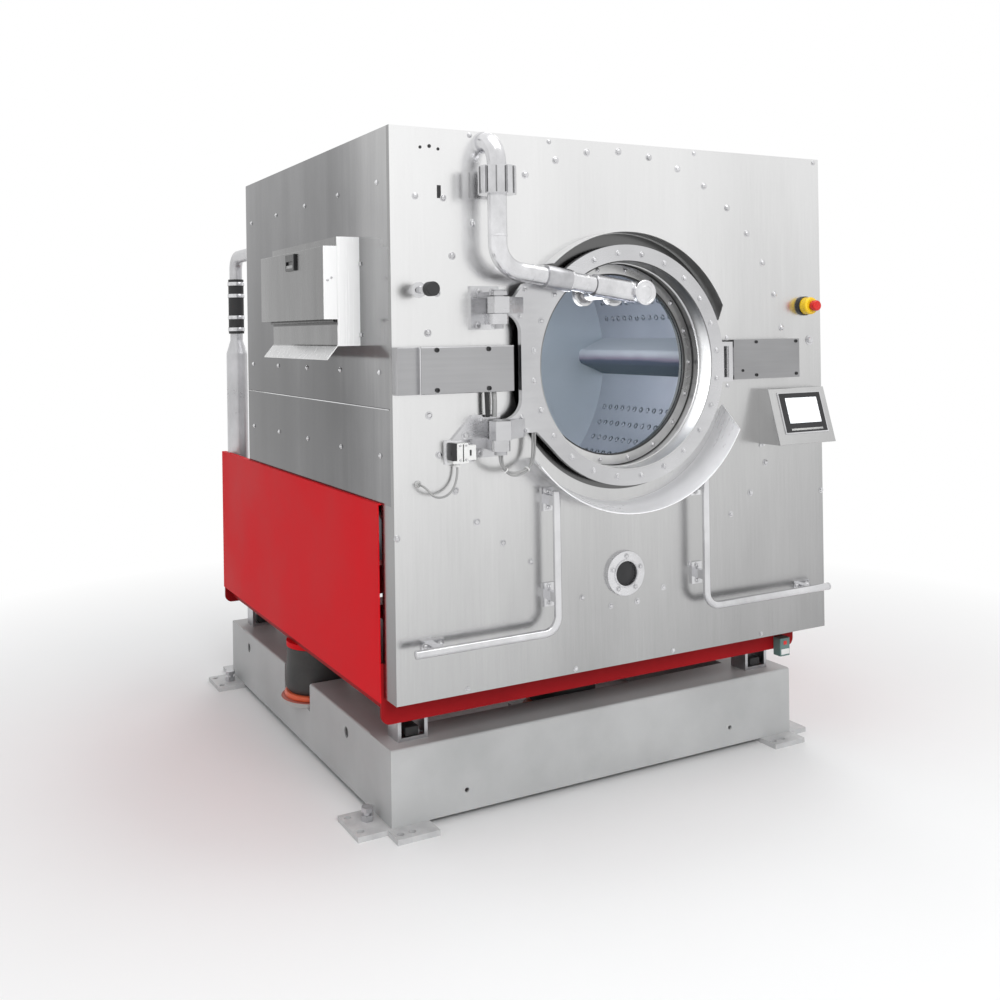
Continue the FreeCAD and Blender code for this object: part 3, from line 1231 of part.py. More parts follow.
def door_bumper():
    x, z = bumper_place()
    split = FRONT - BUMPER_OUT + 36
    stem = disc(BUMPER_STEM_R, x, z, split, FRONT)
    head = disc(BUMPER_R, x, z, FRONT - BUMPER_OUT, split)
    rim = [e for e in head.Edges if e.Length > BUMPER_R]
    return group([stem, head.makeFillet(4.0, rim)])


def switch_span():
    x0 = HINGE_X - ARM_W / 2 - 12 - 84
    z1 = ARM_LOW_Z - 8
    return x0, x0 + 82, z1 - 62, z1


def door_switch():
    x0, x1, z0, z1 = switch_span()
    body = box(x0, x1 - 30, FRONT - 42, FRONT, z0, z1)
    neck = box(x1 - 30, x1, FRONT - 36, FRONT, z0 + 8, z1 - 8)
    gland = post(8, x0 + 24, FRONT - 20, z0 - 12, z0)
    return fuse([body, neck, gland])


def switch_lead():
    """Lead from the switch's gland down and back into the panel."""
    x0, x1, z0, z1 = switch_span()
    x = x0 + 24
    z = z0 - 12
    points = [V(x, FRONT - 20, z), V(x, FRONT - 20, z - 40), V(x - 34, FRONT - 34, z - 84),
              V(x - 92, FRONT - 50, z - 88), V(x - 126, FRONT - 50, z - 46), V(x - 126, FRONT, z - 46)]
    return tube(points, LEAD_R)


def door_cable():
    """Two looped leads from the hollow lower hinge pin to the underside of the door plate."""
    z = ARM_LOW_Z - 46
    x = HINGE_X
    y = HINGE_Y
    end_y = (DOOR_FRONT + DOOR_BACK) / 2
    strands = []
    for side in (-CABLE_SPACING / 2, CABLE_SPACING / 2):
        fall = -side
        points = [V(x + side, y, z), V(x + side, y, z - 45 + fall), V(x + 30 + side * 0.5, y + 12, z - 77 + fall),
                  V(x + 75 - side * 0.5, y + 28, z - 75 + fall), V(x + 113 - side, end_y - 8, z - 15),
                  V(x + 148 - side, end_y, z + 16), V(x + 148 - side, end_y, ARM_LOW_Z + 12)]
        strands.append(tube(points, CABLE_R))
    return group(strands)


def tilt_switch():
    x1 = SIDE_RIGHT - 56
    z0 = CHASSIS_LOW - 20
    body = box(x1 - 48, x1, CHASSIS_FRONT - 40, CHASSIS_FRONT, z0, z0 + 66)
    edges = [e for e in body.Edges if e.BoundBox.ZLength > 50]
    return body.makeFillet(4.0, edges)


def hopper_housing():
    """Hollow chamber on the side panel, open behind the lid, with a drip lip along its foot."""
    x0 = LID_X
    x1 = -HALF_W
    y0 = HOPPER_Y
    y1 = y0 + HOPPER_L
    z0 = HOPPER_Z - HOPPER_H
    w = HOPPER_WALL
    shell = box(x0, x1, y0, y1, z0, HOPPER_Z).cut(box(x0 + w, x1 - w, y0 + w, y1 - w, z0 + w, HOPPER_Z - w))
    mouth = box(x0 - 1, x0 + w + 1, y0 + 20, y1 - 20, LID_BOTTOM + 20, LID_BOTTOM + LID_H - 20)
    lip = plate_xz([(x0, z0), (x0, z0 + 4), (x0 - LIP_REACH, z0 - LIP_DROP + 4), (x0 - LIP_REACH, z0 - LIP_DROP)],
                   y0, y1)
    pin = rod(KNUCKLE_PIN_R, V(KNUCKLE_X, y0, KNUCKLE_Z), V(KNUCKLE_X, y1, KNUCKLE_Z))
    lugs = [box(KNUCKLE_X - KNUCKLE_PIN_R, x0 + w, y, y + KNUCKLE_R, KNUCKLE_Z - KNUCKLE_R, KNUCKLE_Z)
            for y in (y0, y1 - KNUCKLE_R)]
    return fuse([shell.cut(mouth), lip, pin] + lugs)


def hopper_lid():
    x1 = LID_X - FREE
    x0 = x1 - LID_DEPTH
    y0 = HOPPER_Y
    y1 = y0 + HOPPER_L
    w = HOPPER_WALL
    lid = box(x0, x1, y0, y1, LID_BOTTOM, LID_BOTTOM + LID_H)
    edges = [e for e in lid.Edges if e.BoundBox.XMax < x0 + 0.01]
    lid = lid.makeFillet(w * 0.9, edges)
    lid = lid.cut(box(x0 + w, x1 + 1, y0 + w, y1 - w, LID_BOTTOM + w, LID_BOTTOM + LID_H - w))
    ends = KNUCKLE_R + FREE
    barrel = rod(KNUCKLE_R, V(KNUCKLE_X, y0 + ends, KNUCKLE_Z), V(KNUCKLE_X, y1 - ends, KNUCKLE_Z))
    bore = rod(KNUCKLE_PIN_R + RUNNING, V(KNUCKLE_X, y0, KNUCKLE_Z), V(KNUCKLE_X, y1, KNUCKLE_Z))
    return fuse([lid, barrel]).cut(bore)


def hopper_latch():
    x1 = LID_X - FREE - LID_DEPTH
    y0 = HOPPER_Y + LATCH_SETBACK
    z1 = LID_BOTTOM + LID_H - LATCH_MARGIN
    plate = box(x1 - 9, x1, y0, y0 + LATCH_W, z1 - LATCH_H, z1)
    edges = [e for e in plate.Edges if e.BoundBox.XMax < x1 - 8]
    plate = plate.makeFillet(2.5, edges)
    return plate.cut(box(x1 - 10, x1 - 4, y0 + 10, y0 + LATCH_W - 10, z1 - LATCH_H + 12, z1 - LATCH_H + 32))


def vent_levels():
    top = CASING_TOP - VENT_DROP
    return top, top - 100, top - 345, top - 435


def vent_pipe():
    """Overflow vent from the casing's back, down through the sleeve to the wider stand pipe."""
    top, sleeve_top, sleeve_low, wide = vent_levels()
    upper = tube([V(VENT_X, REAR, top), V(VENT_X, VENT_Y, top), V(VENT_X, VENT_Y, sleeve_top - 60)], VENT_R, VENT_BEND)
    short = post(VENT_R, VENT_X, VENT_Y, wide + 60, sleeve_low + 60)
    cone = Part.makeCone(VENT_LOW_R, VENT_R, 60, V(VENT_X, VENT_Y, wide), V(0, 0, 1))
    stand = post(VENT_LOW_R, VENT_X, VENT_Y, RAIL_TOP_Z, wide)
    return group([upper, fuse([stand, cone, short])])


def vent_sleeve():
    """Rubber sleeve over the two pipe ends, with four clamp bands."""
    top, sleeve_top, sleeve_low, wide = vent_levels()
    sleeve = post(VENT_SLEEVE_R, VENT_X, VENT_Y, sleeve_low, sleeve_top)
    tall = sleeve_top - sleeve_low
    bands = [post(VENT_SLEEVE_R + 2, VENT_X, VENT_Y, sleeve_low + tall * share - 9, sleeve_low + tall * share + 9)
             for share in (0.08, 0.3, 0.7, 0.92)]
    return fuse([sleeve] + bands).cut(post(VENT_R + RUNNING, VENT_X, VENT_Y, sleeve_low - 1, sleeve_top + 1))


NODES = {
    "base_side_beams": base_side_beams,
    "base_cross_beams": base_cross_beams,
    "foot_plates": foot_plates,
    "levelling_bolts": levelling_bolts,
    "spring_seats": spring_seats,
    "air_bellows": air_bellows,
    "stop_brackets": stop_brackets,
    "spring_caps": spring_caps,
    "rubber_stops": rubber_stops,
    "red_side_panels": red_side_panels,
    "chassis_beams": lambda: group([chassis_rails(), chassis_cross_beams()]),
    "front_panel": front_panel,
    "casing_sheets": lambda: group([side_panels(), top_panel()]),
    "rear_panel": rear_panel,
    "tub_shell": tub_shell,
    "tub_ends": tub_ends,
    "tub_saddles": tub_saddles,
    "drain_valve": drain_valve,
    "bearing_housing": bearing_housing,
    "drum_shell": drum_shell,
    "drum_ends": drum_ends,
    "drum_lifters": drum_lifters,
    "drum_spider": drum_spider,
    "drum_pulley": drum_pulley,
    "motor_pulley": motor_pulley,
    "belts": belts,
    "motor": motor,
    "door_ring": door_ring,
    "hinge_plate": hinge_plate,
    "lock_tab": lock_tab,
    "door_bowl": door_bowl,
    "clamp_ring": clamp_ring,
    "door_glass": door_glass,
    "spray_nozzles": spray_nozzles,
    "spray_pipe": spray_pipe,
    "water_inlet": lambda: group([union_nut(), inlet_elbow()]),
    "visor": visor,
    "scoop": scoop,
    "hinge_brackets": hinge_brackets,
    "hinge_pins": hinge_pins,
    "hinge_cover": hinge_cover,
    "lock_housing": lock_housing,
    "lock_bolt": lock_bolt,
    "door_seal": door_seal,
    "sight_port": sight_port,
    "guard_rails": lambda: group([guard_rails(), rail_brackets()]),
    "console_housing": console_housing,
    "console_screen": console_screen,
    "e_stop_body": e_stop_body,
    "e_stop_button": e_stop_button,
    "door_bumper": door_bumper,
    "door_switch": door_switch,
    "switch_lead": switch_lead,
    "door_cable": door_cable,
    "tilt_switch": tilt_switch,
    "hopper_housing": hopper_housing,
    "hopper_lid": hopper_lid,
    "hopper_latch": hopper_latch,
    "vent_pipe": vent_pipe,
    "vent_sleeve": vent_sleeve,
}

os.makedirs("parts", exist_ok=True)
for name, make in NODES.items():
    save(name, make())
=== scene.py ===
import math

import bmesh
import bpy
from mathutils import Matrix, Vector


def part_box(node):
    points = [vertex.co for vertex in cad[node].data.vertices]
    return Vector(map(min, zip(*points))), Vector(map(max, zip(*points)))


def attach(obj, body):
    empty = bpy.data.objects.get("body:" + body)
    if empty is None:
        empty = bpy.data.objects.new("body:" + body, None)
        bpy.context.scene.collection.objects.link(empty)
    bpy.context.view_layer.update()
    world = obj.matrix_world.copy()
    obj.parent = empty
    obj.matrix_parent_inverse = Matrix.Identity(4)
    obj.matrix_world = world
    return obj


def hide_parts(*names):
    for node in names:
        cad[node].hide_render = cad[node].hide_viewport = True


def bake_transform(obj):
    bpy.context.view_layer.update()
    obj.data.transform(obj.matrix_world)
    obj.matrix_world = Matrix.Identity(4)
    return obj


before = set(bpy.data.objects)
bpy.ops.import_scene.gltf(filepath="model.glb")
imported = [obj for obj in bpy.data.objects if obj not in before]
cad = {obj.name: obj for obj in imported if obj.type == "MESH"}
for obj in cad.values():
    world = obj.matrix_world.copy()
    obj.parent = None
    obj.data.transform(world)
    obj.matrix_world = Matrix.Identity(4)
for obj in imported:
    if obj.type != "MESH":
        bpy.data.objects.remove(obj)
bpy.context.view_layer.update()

# Places read from the frame and sizes that several pieces share, in metres: x to the right, y to the back, z up
panel_low, panel_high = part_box("front_panel")
bowl_low, bowl_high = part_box("door_bowl")
cover_low, cover_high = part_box("hinge_cover")
lock_low, lock_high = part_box("lock_housing")
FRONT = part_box("console_housing")[1].y
DRUM_AXIS = Vector((0.0, 0.0, (bowl_low.z + bowl_high.z) / 2))
DOOR_FACE = bowl_low.y
sheets_low, sheets_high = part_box("casing_sheets")
LEFT_SIDE = sheets_low.x
RIGHT_SIDE = sheets_high.x
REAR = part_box("rear_panel")[1].y
HINGE = Vector((-0.519, -1.175, 0.0))
SPRING_PITCH = 0.604
CLAMP_WIDTH = 0.036
BOWL_WALL = 0.004
RAIL_X = 0.303
LEAD_RADIUS = 0.0035
SHEET_BOLT = 0.0060
RING_STEPS = 96
CREASE = math.radians(35)
OUT = Vector((0, -1, 0))
LEFT = Vector((-1, 0, 0))
UP = Vector((0, 0, 1))


# Meshes

def lathe(bm, profile, base, axis, steps):
    """Turns (radius, height) points about the axis that leaves base."""
    axis = Vector(axis).normalized()
    side = axis.orthogonal().normalized()
    verts = [bm.verts.new(Vector(base) + side * r + axis * h) for r, h in profile]
    edges = [bm.edges.new(pair) for pair in zip(verts, verts[1:])]
    bmesh.ops.spin(bm, geom=verts + edges, cent=base, axis=axis, angle=math.tau, steps=steps, use_merge=True)


def block(bm, low, high, edge):
    """Box between two corners with rounded edges."""
    low, high = Vector(low), Vector(high)
    before = set(bm.verts)
    verts = bmesh.ops.create_cube(bm, size=1.0)["verts"]
    bmesh.ops.scale(bm, vec=high - low, verts=verts)
    edges = list({e for v in verts for e in v.link_edges})
    bmesh.ops.bevel(bm, geom=edges, offset=edge, offset_type="OFFSET", segments=2, profile=0.5,
                    affect="EDGES", material=-1)
    bmesh.ops.translate(bm, vec=(low + high) / 2, verts=[v for v in bm.verts if v not in before])


def close(bm):
    """Joins the seams and turns all faces outwards."""
    bmesh.ops.remove_doubles(bm, verts=bm.verts, dist=1e-6)
    bmesh.ops.recalc_face_normals(bm, faces=bm.faces)


def whole(bm):
    return bm.verts[:] + bm.edges[:] + bm.faces[:]


def added(name, data):
    """New object in the scene."""
    thing = bpy.data.objects.new(name, data)
    bpy.context.collection.objects.link(thing)
    return thing


def piece(name, bm, material, body="machine"):
    """Makes the mesh an object that rides on a body and takes a finish."""
    close(bm)
    mesh = bpy.data.meshes.new(name)
    bm.to_mesh(mesh)
    bm.free()
    mesh.shade_smooth()
    mesh.set_sharp_from_angle(angle=CREASE)
    mesh.materials.append(material)
    thing = added(name, mesh)
    if body:
        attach(thing, body)
    return thing


def lead(name, points, radius, material, body):
    """Round lead on a smooth NURBS line with the points as its control points."""
    curve = bpy.data.curves.new(name, "CURVE")
    curve.dimensions = "3D"
    curve.bevel_depth = radius
    curve.bevel_resolution = 4
    curve.resolution_u = 12
    curve.use_fill_caps = True
    spline = curve.splines.new("NURBS")
    spline.points.add(len(points) - 1)
    for point, place in zip(spline.points, points):
        point.co = (*place, 1.0)
    spline.order_u = 3
    spline.use_endpoint_u = True
    curve.materials.append(material)
    thing = added(name, curve)
    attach(thing, body)
    return thing


# Finishes

class Finish:
    """Procedural material on object coordinates."""

    def __init__(self, name, metallic=0.0, roughness=0.5, **sockets):
        self.material = bpy.data.materials.new(name)
        self.material.use_nodes = True
        self.tree = self.material.node_tree
        self.shader = self.tree.nodes["Principled BSDF"]
        self.shader.inputs["Metallic"].default_value = metallic
        self.shader.inputs["Roughness"].default_value = roughness
        for socket, value in sockets.items():
            self.shader.inputs[socket.replace("_", " ")].default_value = value
        self.place = self.tree.nodes.new("ShaderNodeTexCoord").outputs["Object"]

    def link(self, source, target):
        self.tree.links.new(source, target)

    def node(self, kind, sockets, **settings):
        """New node with its settings, and a value or a source for each socket named."""
        made = self.tree.nodes.new("ShaderNode" + kind)
        for name, value in settings.items():
            setattr(made, name, value)
        for socket, value in sockets.items():
            if isinstance(value, bpy.types.NodeSocket):
                self.link(value, made.inputs[socket])
            else:
                made.inputs[socket].default_value = value
        return made

    def noise(self, scale, stretch=(1, 1, 1), detail=4.0, rough=0.55):
        mapping = self.node("Mapping", {"Vector": self.place, "Scale": stretch})
        texture = self.node("TexNoise", {"Vector": mapping.outputs["Vector"], "Scale": scale, "Detail": detail,
                                         "Roughness": rough})
        return texture.outputs["Fac"]

    def along(self, axis, start, end):
        """0 at start and 1 at end along an axis."""
        split = self.node("SeparateXYZ", {"Vector": self.place})
        return self.spread(split.outputs[axis], 0.0, 1.0, start, end)

    def around_drum(self, start, end, lift=0.0):
        """0 at one distance from a line along the drum's axis, or a little above it, and 1 at another."""
        flat = self.node("VectorMath", {0: self.place, 1: (1, 0, 1)}, operation="MULTIPLY")
        away = self.node("VectorMath", {0: flat.outputs["Vector"], 1: DRUM_AXIS + UP * lift}, operation="DISTANCE")
        return self.spread(away.outputs["Value"], 0.0, 1.0, start, end)

    def spread(self, source, low, high, start=0.3, end=0.7):
        """Runs from low to high while the source runs from start to end."""
        return self.node("MapRange", {"Value": source, "From Min": start, "From Max": end, "To Min": low,
                                      "To Max": high}).outputs["Result"]

    def combine(self, first, second, share):
        """Weighted mean of two values."""
        return self.node("Mix", {"Factor": share, "A": first, "B": second}).outputs["Result"]

    def pick(self, first, second, way):
        """The larger (MAXIMUM), the smaller (MINIMUM) or the product (MULTIPLY) of two values."""
        return self.node("Math", {0: first, 1: second}, operation=way).outputs["Value"]

    def colours(self, source, stops):
        """Base colour from a value, by stops of place and colour."""
        node = self.node("ValToRGB", {"Fac": source})
        ramp = node.color_ramp
        while len(ramp.elements) < len(stops):
            ramp.elements.new(0.5)
        for element, (position, colour) in zip(ramp.elements, stops):
            element.position = position
            element.color = (*colour, 1.0)
        self.link(node.outputs["Color"], self.shader.inputs["Base Color"])

    def roughness(self, source, low, high):
        self.link(self.spread(source, low, high), self.shader.inputs["Roughness"])

    def bump(self, source, strength, distance):
        node = self.node("Bump", {"Height": source, "Strength": strength, "Distance": distance})
        self.link(node.outputs["Normal"], self.shader.inputs["Normal"])


def grey(value, blue=1.0):
    return (value, value, value * blue)


def steel(name, dark, light, rough, stretch, cloud=1.4, grain=0.3, blue=1.02, lines=0.06, metallic=1.0):
    """Stainless sheet: drawn grain along one way, cloudy smears and soft wear in its shine."""
    finish = Finish(name, metallic=metallic)
    drawn = finish.noise(1.0, stretch, detail=6.0, rough=0.65)
    smear = finish.noise(cloud, detail=3.0)
    finish.colours(finish.combine(smear, drawn, grain), [(0.32, grey(dark, blue)), (0.68, grey(light, blue))])
    finish.roughness(finish.combine(smear, drawn, 0.5), rough * 0.75, rough * 1.3)
    finish.bump(drawn, lines, 0.0006)
    return finish.material


def front_steel(name, left_edge):
    """Front sheet: satin rolled steel with painted reflection that makes it paler towards the top left, and painted
    shade on its fold and behind the door ring.
    """
    finish = Finish(name, metallic=1.0)
    # Painted reflection: ramps up the height and towards the left make the sheet paler at the top left.
    height = finish.along("Z", 0.45, 2.2)
    side = finish.along("X", 0.75, -0.85)
    smear = finish.noise(1.1, (1.6, 1.0, 0.5), detail=4.0)
    drawn = finish.noise(1.0, (160, 160, 5), detail=5.0, rough=0.65)
    tone = finish.combine(finish.combine(height, side, 0.35), smear, 0.35)
    tone = finish.combine(tone, drawn, 0.06)
    # Painted shade along the fold at the sheet's left edge.
    fold = finish.along("X", left_edge + 0.0004, left_edge + 0.0014)
    tone = finish.pick(tone, finish.spread(fold, 0.17, 1.0, 0.0, 1.0), "MINIMUM")
    # Painted shade on the sheet inside the visor, behind the door ring.
    shade = finish.around_drum(0.430, 0.433, lift=0.012)
    tone = finish.pick(tone, shade, "MINIMUM")
    finish.colours(tone, [(0.0, grey(0.15)), (0.15, grey(0.28)), (0.40, grey(0.54)), (0.60, grey(0.76)),
                          (0.80, grey(0.92))])
    finish.roughness(smear, 0.16, 0.27)
    finish.bump(drawn, 0.05, 0.0004)
    return finish.material


def side_steel(name):
    """Side sheet: nearly mirror bright, with upright streaks, and painted reflection that makes it paler above and
    towards the front.
    """
    finish = Finish(name, metallic=1.0)
    height = finish.along("Z", 1.35, 2.25)
    streak = finish.noise(1.0, (5.0, 5.0, 0.4), detail=5.0, rough=0.6)
    drawn = finish.noise(1.0, (130, 130, 2.5), detail=5.0, rough=0.6)
    patch = finish.noise(2.2, detail=3.0)
    tone = finish.combine(finish.combine(streak, patch, 0.4), drawn, 0.12)
    # Painted reflection: paler above and towards the front.
    tone = finish.combine(tone, height, 0.3)
    tone = finish.combine(tone, finish.along("Y", -0.50, -1.08), 0.3)
    finish.colours(tone, [(0.12, grey(0.03, 1.03)), (0.30, grey(0.09, 1.03)), (0.48, grey(0.20, 1.02)),
                          (0.75, grey(0.48))])
    finish.roughness(drawn, 0.10, 0.19)
    finish.bump(drawn, 0.03, 0.0004)
    return finish.material


def hopper_steel(name, front_end, underside, lid_edge, face):
    """Soap box sheet: brushed mid grey, with a painted highlight on its front end and lip, and a line of painted
    shade under the lid.
    """
    finish = Finish(name)
    # Painted highlight: the front end and the lip are made pale, and almost not metallic, so they read as lit.
    end = finish.along("Y", front_end + 0.004, front_end + 0.001)
    lip = finish.along("Z", underside + 0.001, underside - 0.001)
    lit = finish.pick(end, finish.spread(lip, 0.0, 0.75, 0.0, 1.0), "MAXIMUM")
    streak = finish.noise(1.0, (6.0, 3.0, 0.5), detail=4.0, rough=0.6)
    drawn = finish.noise(1.0, (120, 120, 3.0), detail=5.0, rough=0.6)
    tone = finish.combine(finish.combine(streak, drawn, 0.25), lit, 0.6)
    # Painted shade in a band on the box's face just under the lid.
    under = finish.pick(finish.along("Z", lid_edge - 0.026, lid_edge - 0.016),
                        finish.along("Z", lid_edge, lid_edge - 0.001), "MINIMUM")
    under = finish.pick(under, finish.along("X", face + 0.0010, face + 0.0004), "MINIMUM")
    tone = finish.pick(tone, finish.spread(under, 1.0, 0.0, 0.0, 1.0), "MINIMUM")
    finish.colours(tone, [(0.0, grey(0.02)), (0.12, grey(0.14)), (0.26, grey(0.27)), (0.40, grey(0.42)),
                          (0.72, grey(0.86)), (0.9, grey(0.94))])
    # Less metallic where the highlight is painted.
    finish.link(finish.spread(lit, 1.0, 0.05, 0.0, 1.0), finish.shader.inputs["Metallic"])
    finish.roughness(drawn, 0.18, 0.30)
    finish.bump(drawn, 0.04, 0.0004)
    return finish.material


def visor_steel(name, inner):
    """Visor sheet: painted shade on the inner face and a painted highlight on the outer face."""
    finish = Finish(name, metallic=0.5)
    drawn = finish.noise(1.0, (20, 60, 20), detail=5.0, rough=0.65)
    cloud = finish.noise(3.0, detail=3.0)
    # Painted light: the outer face is lightened as lit and the inner face darkened as shade.
    lit_outer_face = finish.around_drum(inner + 0.001, inner + 0.002)
    tone = finish.combine(finish.combine(cloud, drawn, 0.4), lit_outer_face, 0.6)
    finish.colours(tone, [(0.12, grey(0.18)), (0.28, grey(0.36)), (0.6, grey(0.6)), (0.9, grey(0.8))])
    finish.roughness(cloud, 0.28, 0.42)
    finish.bump(drawn, 0.04, 0.0005)
    return finish.material


def bowl_steel(name, axis_height, back):
    """Bowl sheet: rolled steel, with painted shade where it faces down and behind the glass, and painted light where
    it faces up.
    """
    finish = Finish(name, metallic=0.9)
    drawn = finish.noise(1.0, (8, 90, 8), detail=5.0, rough=0.65)
    cloud = finish.noise(3.0, detail=3.0)
    # Painted light and shade: darker at the top, where the wall faces down, and paler low down, where it faces up.
    height = finish.along("Z", axis_height + 0.30, axis_height - 0.20)
    tone = finish.combine(finish.combine(cloud, drawn, 0.35), height, 0.6)
    # Painted shade on the wall behind the glass.
    front = finish.along("Y", back - 0.013, back - 0.018)
    finish.colours(finish.pick(tone, front, "MINIMUM"),
                   [(0.0, grey(0.02)), (0.2, grey(0.08)), (0.45, grey(0.22)), (0.65, grey(0.42)), (0.85, grey(0.60))])
    finish.roughness(cloud, 0.24, 0.38)
    finish.bump(drawn, 0.06, 0.0006)
    return finish.material


def clamp_steel(name, inner):
    """Clamp ring: a turned face with painted shade on its inner edge against the glass."""
    finish = Finish(name, metallic=1.0)
    turned = finish.noise(1.0, (40, 8, 40), detail=5.0, rough=0.65)
    cloud = finish.noise(3.0, detail=3.0)
    # Painted shade on the ring's inner edge.
    edge = finish.around_drum(inner + 0.0005, inner + 0.0025)
    tone = finish.spread(finish.combine(cloud, turned, 0.3), 0.5, 1.0)
    finish.colours(finish.pick(edge, tone, "MINIMUM"),
                   [(0.2, grey(0.03)), (0.5, grey(0.50)), (1.0, grey(0.76))])
    finish.roughness(cloud, 0.24, 0.36)
    finish.bump(turned, 0.04, 0.0006)
    return finish.material


def drum_end_steel(name, mouth):
    """Drum end sheet: grey-blue at the back, with painted shade round the mouth."""
    finish = Finish(name, metallic=0.5)
    cloud = finish.noise(2.5, detail=3.0)
    # Painted shade: darker near the mouth.
    mouth_shade = finish.along("Y", mouth + 0.03, mouth + 0.20)
    finish.colours(finish.pick(mouth_shade, finish.spread(cloud, 0.75, 1.0), "MINIMUM"),
                   [(0.1, grey(0.04)), (0.75, (0.36, 0.41, 0.46)), (1.0, (0.44, 0.49, 0.55))])
    finish.roughness(cloud, 0.36, 0.5)
    return finish.material


def lifter_steel(name, axis_height):
    """Lifter sheet: painted shade makes it blue-black below, and painted light makes it paler above."""
    finish = Finish(name, Specular_IOR_Level=0.0)
    cloud = finish.noise(14.0, (1.0, 0.4, 1.0), detail=4.0)
    # Painted light and shade: dark on the lower flank, pale on the upper one.
    height = finish.along("Z", axis_height - 0.085, axis_height + 0.085)
    finish.colours(finish.combine(height, cloud, 0.12),
                   [(0.10, (0.016, 0.018, 0.042)), (0.42, (0.022, 0.022, 0.050)), (0.48, (0.16, 0.13, 0.18)),
                    (0.56, (0.30, 0.31, 0.35)), (0.66, (0.40, 0.43, 0.48))])
    finish.roughness(cloud, 0.34, 0.5)
    finish.bump(cloud, 0.04, 0.001)
    return finish.material


def paint(name, dark, light, rough, gloss=0.5, peel=0.03, scale=2.0):
    """Paint with uneven cover and orange peel."""
    finish = Finish(name, Specular_IOR_Level=gloss)
    cover = finish.noise(scale, detail=5.0)
    finish.colours(cover, [(0.3, dark), (0.7, light)])
    grain = finish.noise(260.0, detail=2.0)
    finish.roughness(cover, rough * 0.85, rough * 1.2)
    finish.bump(grain, peel, 0.0005)
    return finish.material


def moulded(name, dark, light, rough, grain_scale=420.0, grain=0.06):
    """Moulded plastic or rubber with a fine skin."""
    finish = Finish(name)
    cover = finish.noise(9.0, detail=4.0)
    finish.colours(cover, [(0.3, dark), (0.7, light)])
    finish.roughness(cover, rough * 0.85, rough * 1.15)
    finish.bump(finish.noise(grain_scale, detail=2.0), grain, 0.0005)
    return finish.material


def seat_finish(name, plate_top):
    """Spring seat: pale plate below, orange-red ring above."""
    finish = Finish(name)
    height = finish.along("Z", plate_top - 0.0005, plate_top + 0.0005)
    wear = finish.noise(14.0, detail=4.0)
    finish.colours(finish.combine(height, wear, 0.12),
                   [(0.05, (0.42, 0.41, 0.40)), (0.3, (0.40, 0.39, 0.38)), (0.62, (0.58, 0.075, 0.03)),
                    (1.0, (0.72, 0.12, 0.045))])
    finish.roughness(wear, 0.35, 0.55)
    finish.bump(wear, 0.05, 0.001)
    return finish.material


def glass_finish(name):
    """Clear pane with a faint blue body and wiped smears."""
    finish = Finish(name, Alpha=0.04, Specular_IOR_Level=0.3)
    smear = finish.noise(2.4, (1.0, 1.0, 2.0), detail=4.0)
    finish.colours(smear, [(0.3, (0.50, 0.70, 0.80)), (0.7, (0.62, 0.80, 0.90))])
    finish.roughness(smear, 0.03, 0.09)
    return finish.material


def screen_finish(name):
    """Lit display with rows of soft tiles."""
    finish = Finish(name, roughness=0.18, Emission_Strength=0.35)
    turn = finish.node("Mapping", {"Vector": finish.place, "Rotation": (math.radians(-90), 0, 0)})
    tiles = finish.node("TexBrick", {"Vector": turn.outputs["Vector"], "Color1": (0.80, 0.84, 0.88, 1.0),
                                     "Color2": (0.86, 0.88, 0.90, 1.0), "Mortar": (0.93, 0.94, 0.95, 1.0),
                                     "Scale": 1.0, "Mortar Size": 0.003, "Brick Width": 0.036, "Row Height": 0.022},
                        offset=0.0)
    for socket in ("Base Color", "Emission Color"):
        finish.link(tiles.outputs["Color"], finish.shader.inputs[socket])
    return finish.material


FRONT_STEEL = front_steel("front_sheet_steel", panel_low.x)
SIDE_STEEL = side_steel("side_sheet_steel")
hopper_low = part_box("hopper_housing")[0]
HOPPER_STEEL = hopper_steel("soap_box_steel", hopper_low.y, hopper_low.z + 0.0435, hopper_low.z + 0.130,
                            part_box("hopper_lid")[1].x)
DOOR_STEEL = steel("door_plate_steel", 0.52, 0.72, 0.25, (6, 6, 40), cloud=2.0, grain=0.15, lines=0.004)
BRACKET_STEEL = steel("bracket_steel", 0.50, 0.76, 0.24, (10, 10, 40), cloud=6.0, grain=0.2, lines=0.006)
# Darker steel that paints shade into the union nut's slots.
SLOT_SHADE_STEEL = steel("slot_shade_steel", 0.22, 0.36, 0.35, (30, 30, 30), cloud=12.0, grain=0.3)
NOZZLE_STEEL = steel("nozzle_steel", 0.26, 0.48, 0.3, (30, 30, 30), cloud=12.0, grain=0.3)
BRIGHT_STEEL = steel("polished_steel", 0.55, 0.80, 0.16, (40, 40, 12), cloud=4.0, grain=0.25, lines=0.03)
CLAMP_STEEL = clamp_steel("clamp_steel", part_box("clamp_ring")[1].x - CLAMP_WIDTH)
BOWL_STEEL = bowl_steel("bowl_steel", DRUM_AXIS.z, bowl_high.y)
PIPE_STEEL = steel("pipe_steel", 0.54, 0.90, 0.2, (20, 20, 14), cloud=6.0, grain=0.35)
VENT_STEEL = steel("vent_steel", 0.46, 0.66, 0.3, (20, 20, 14), cloud=5.0, grain=0.35, metallic=0.6)
VISOR_STEEL = visor_steel("visor_steel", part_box("visor")[1].z - DRUM_AXIS.z - 0.003)
SCOOP_STEEL = steel("scoop_steel", 0.78, 0.95, 0.3, (12, 60, 12), cloud=2.5, grain=0.2, lines=0.03, metallic=0.3)
DRUM_STEEL = steel("drum_steel", 0.33, 0.45, 0.42, (12, 2, 12), cloud=2.5, grain=0.3, blue=1.12)
DIMPLE_STEEL = steel("dimple_steel", 0.16, 0.50, 0.26, (12, 12, 12), cloud=40.0, grain=0.3, blue=1.1)
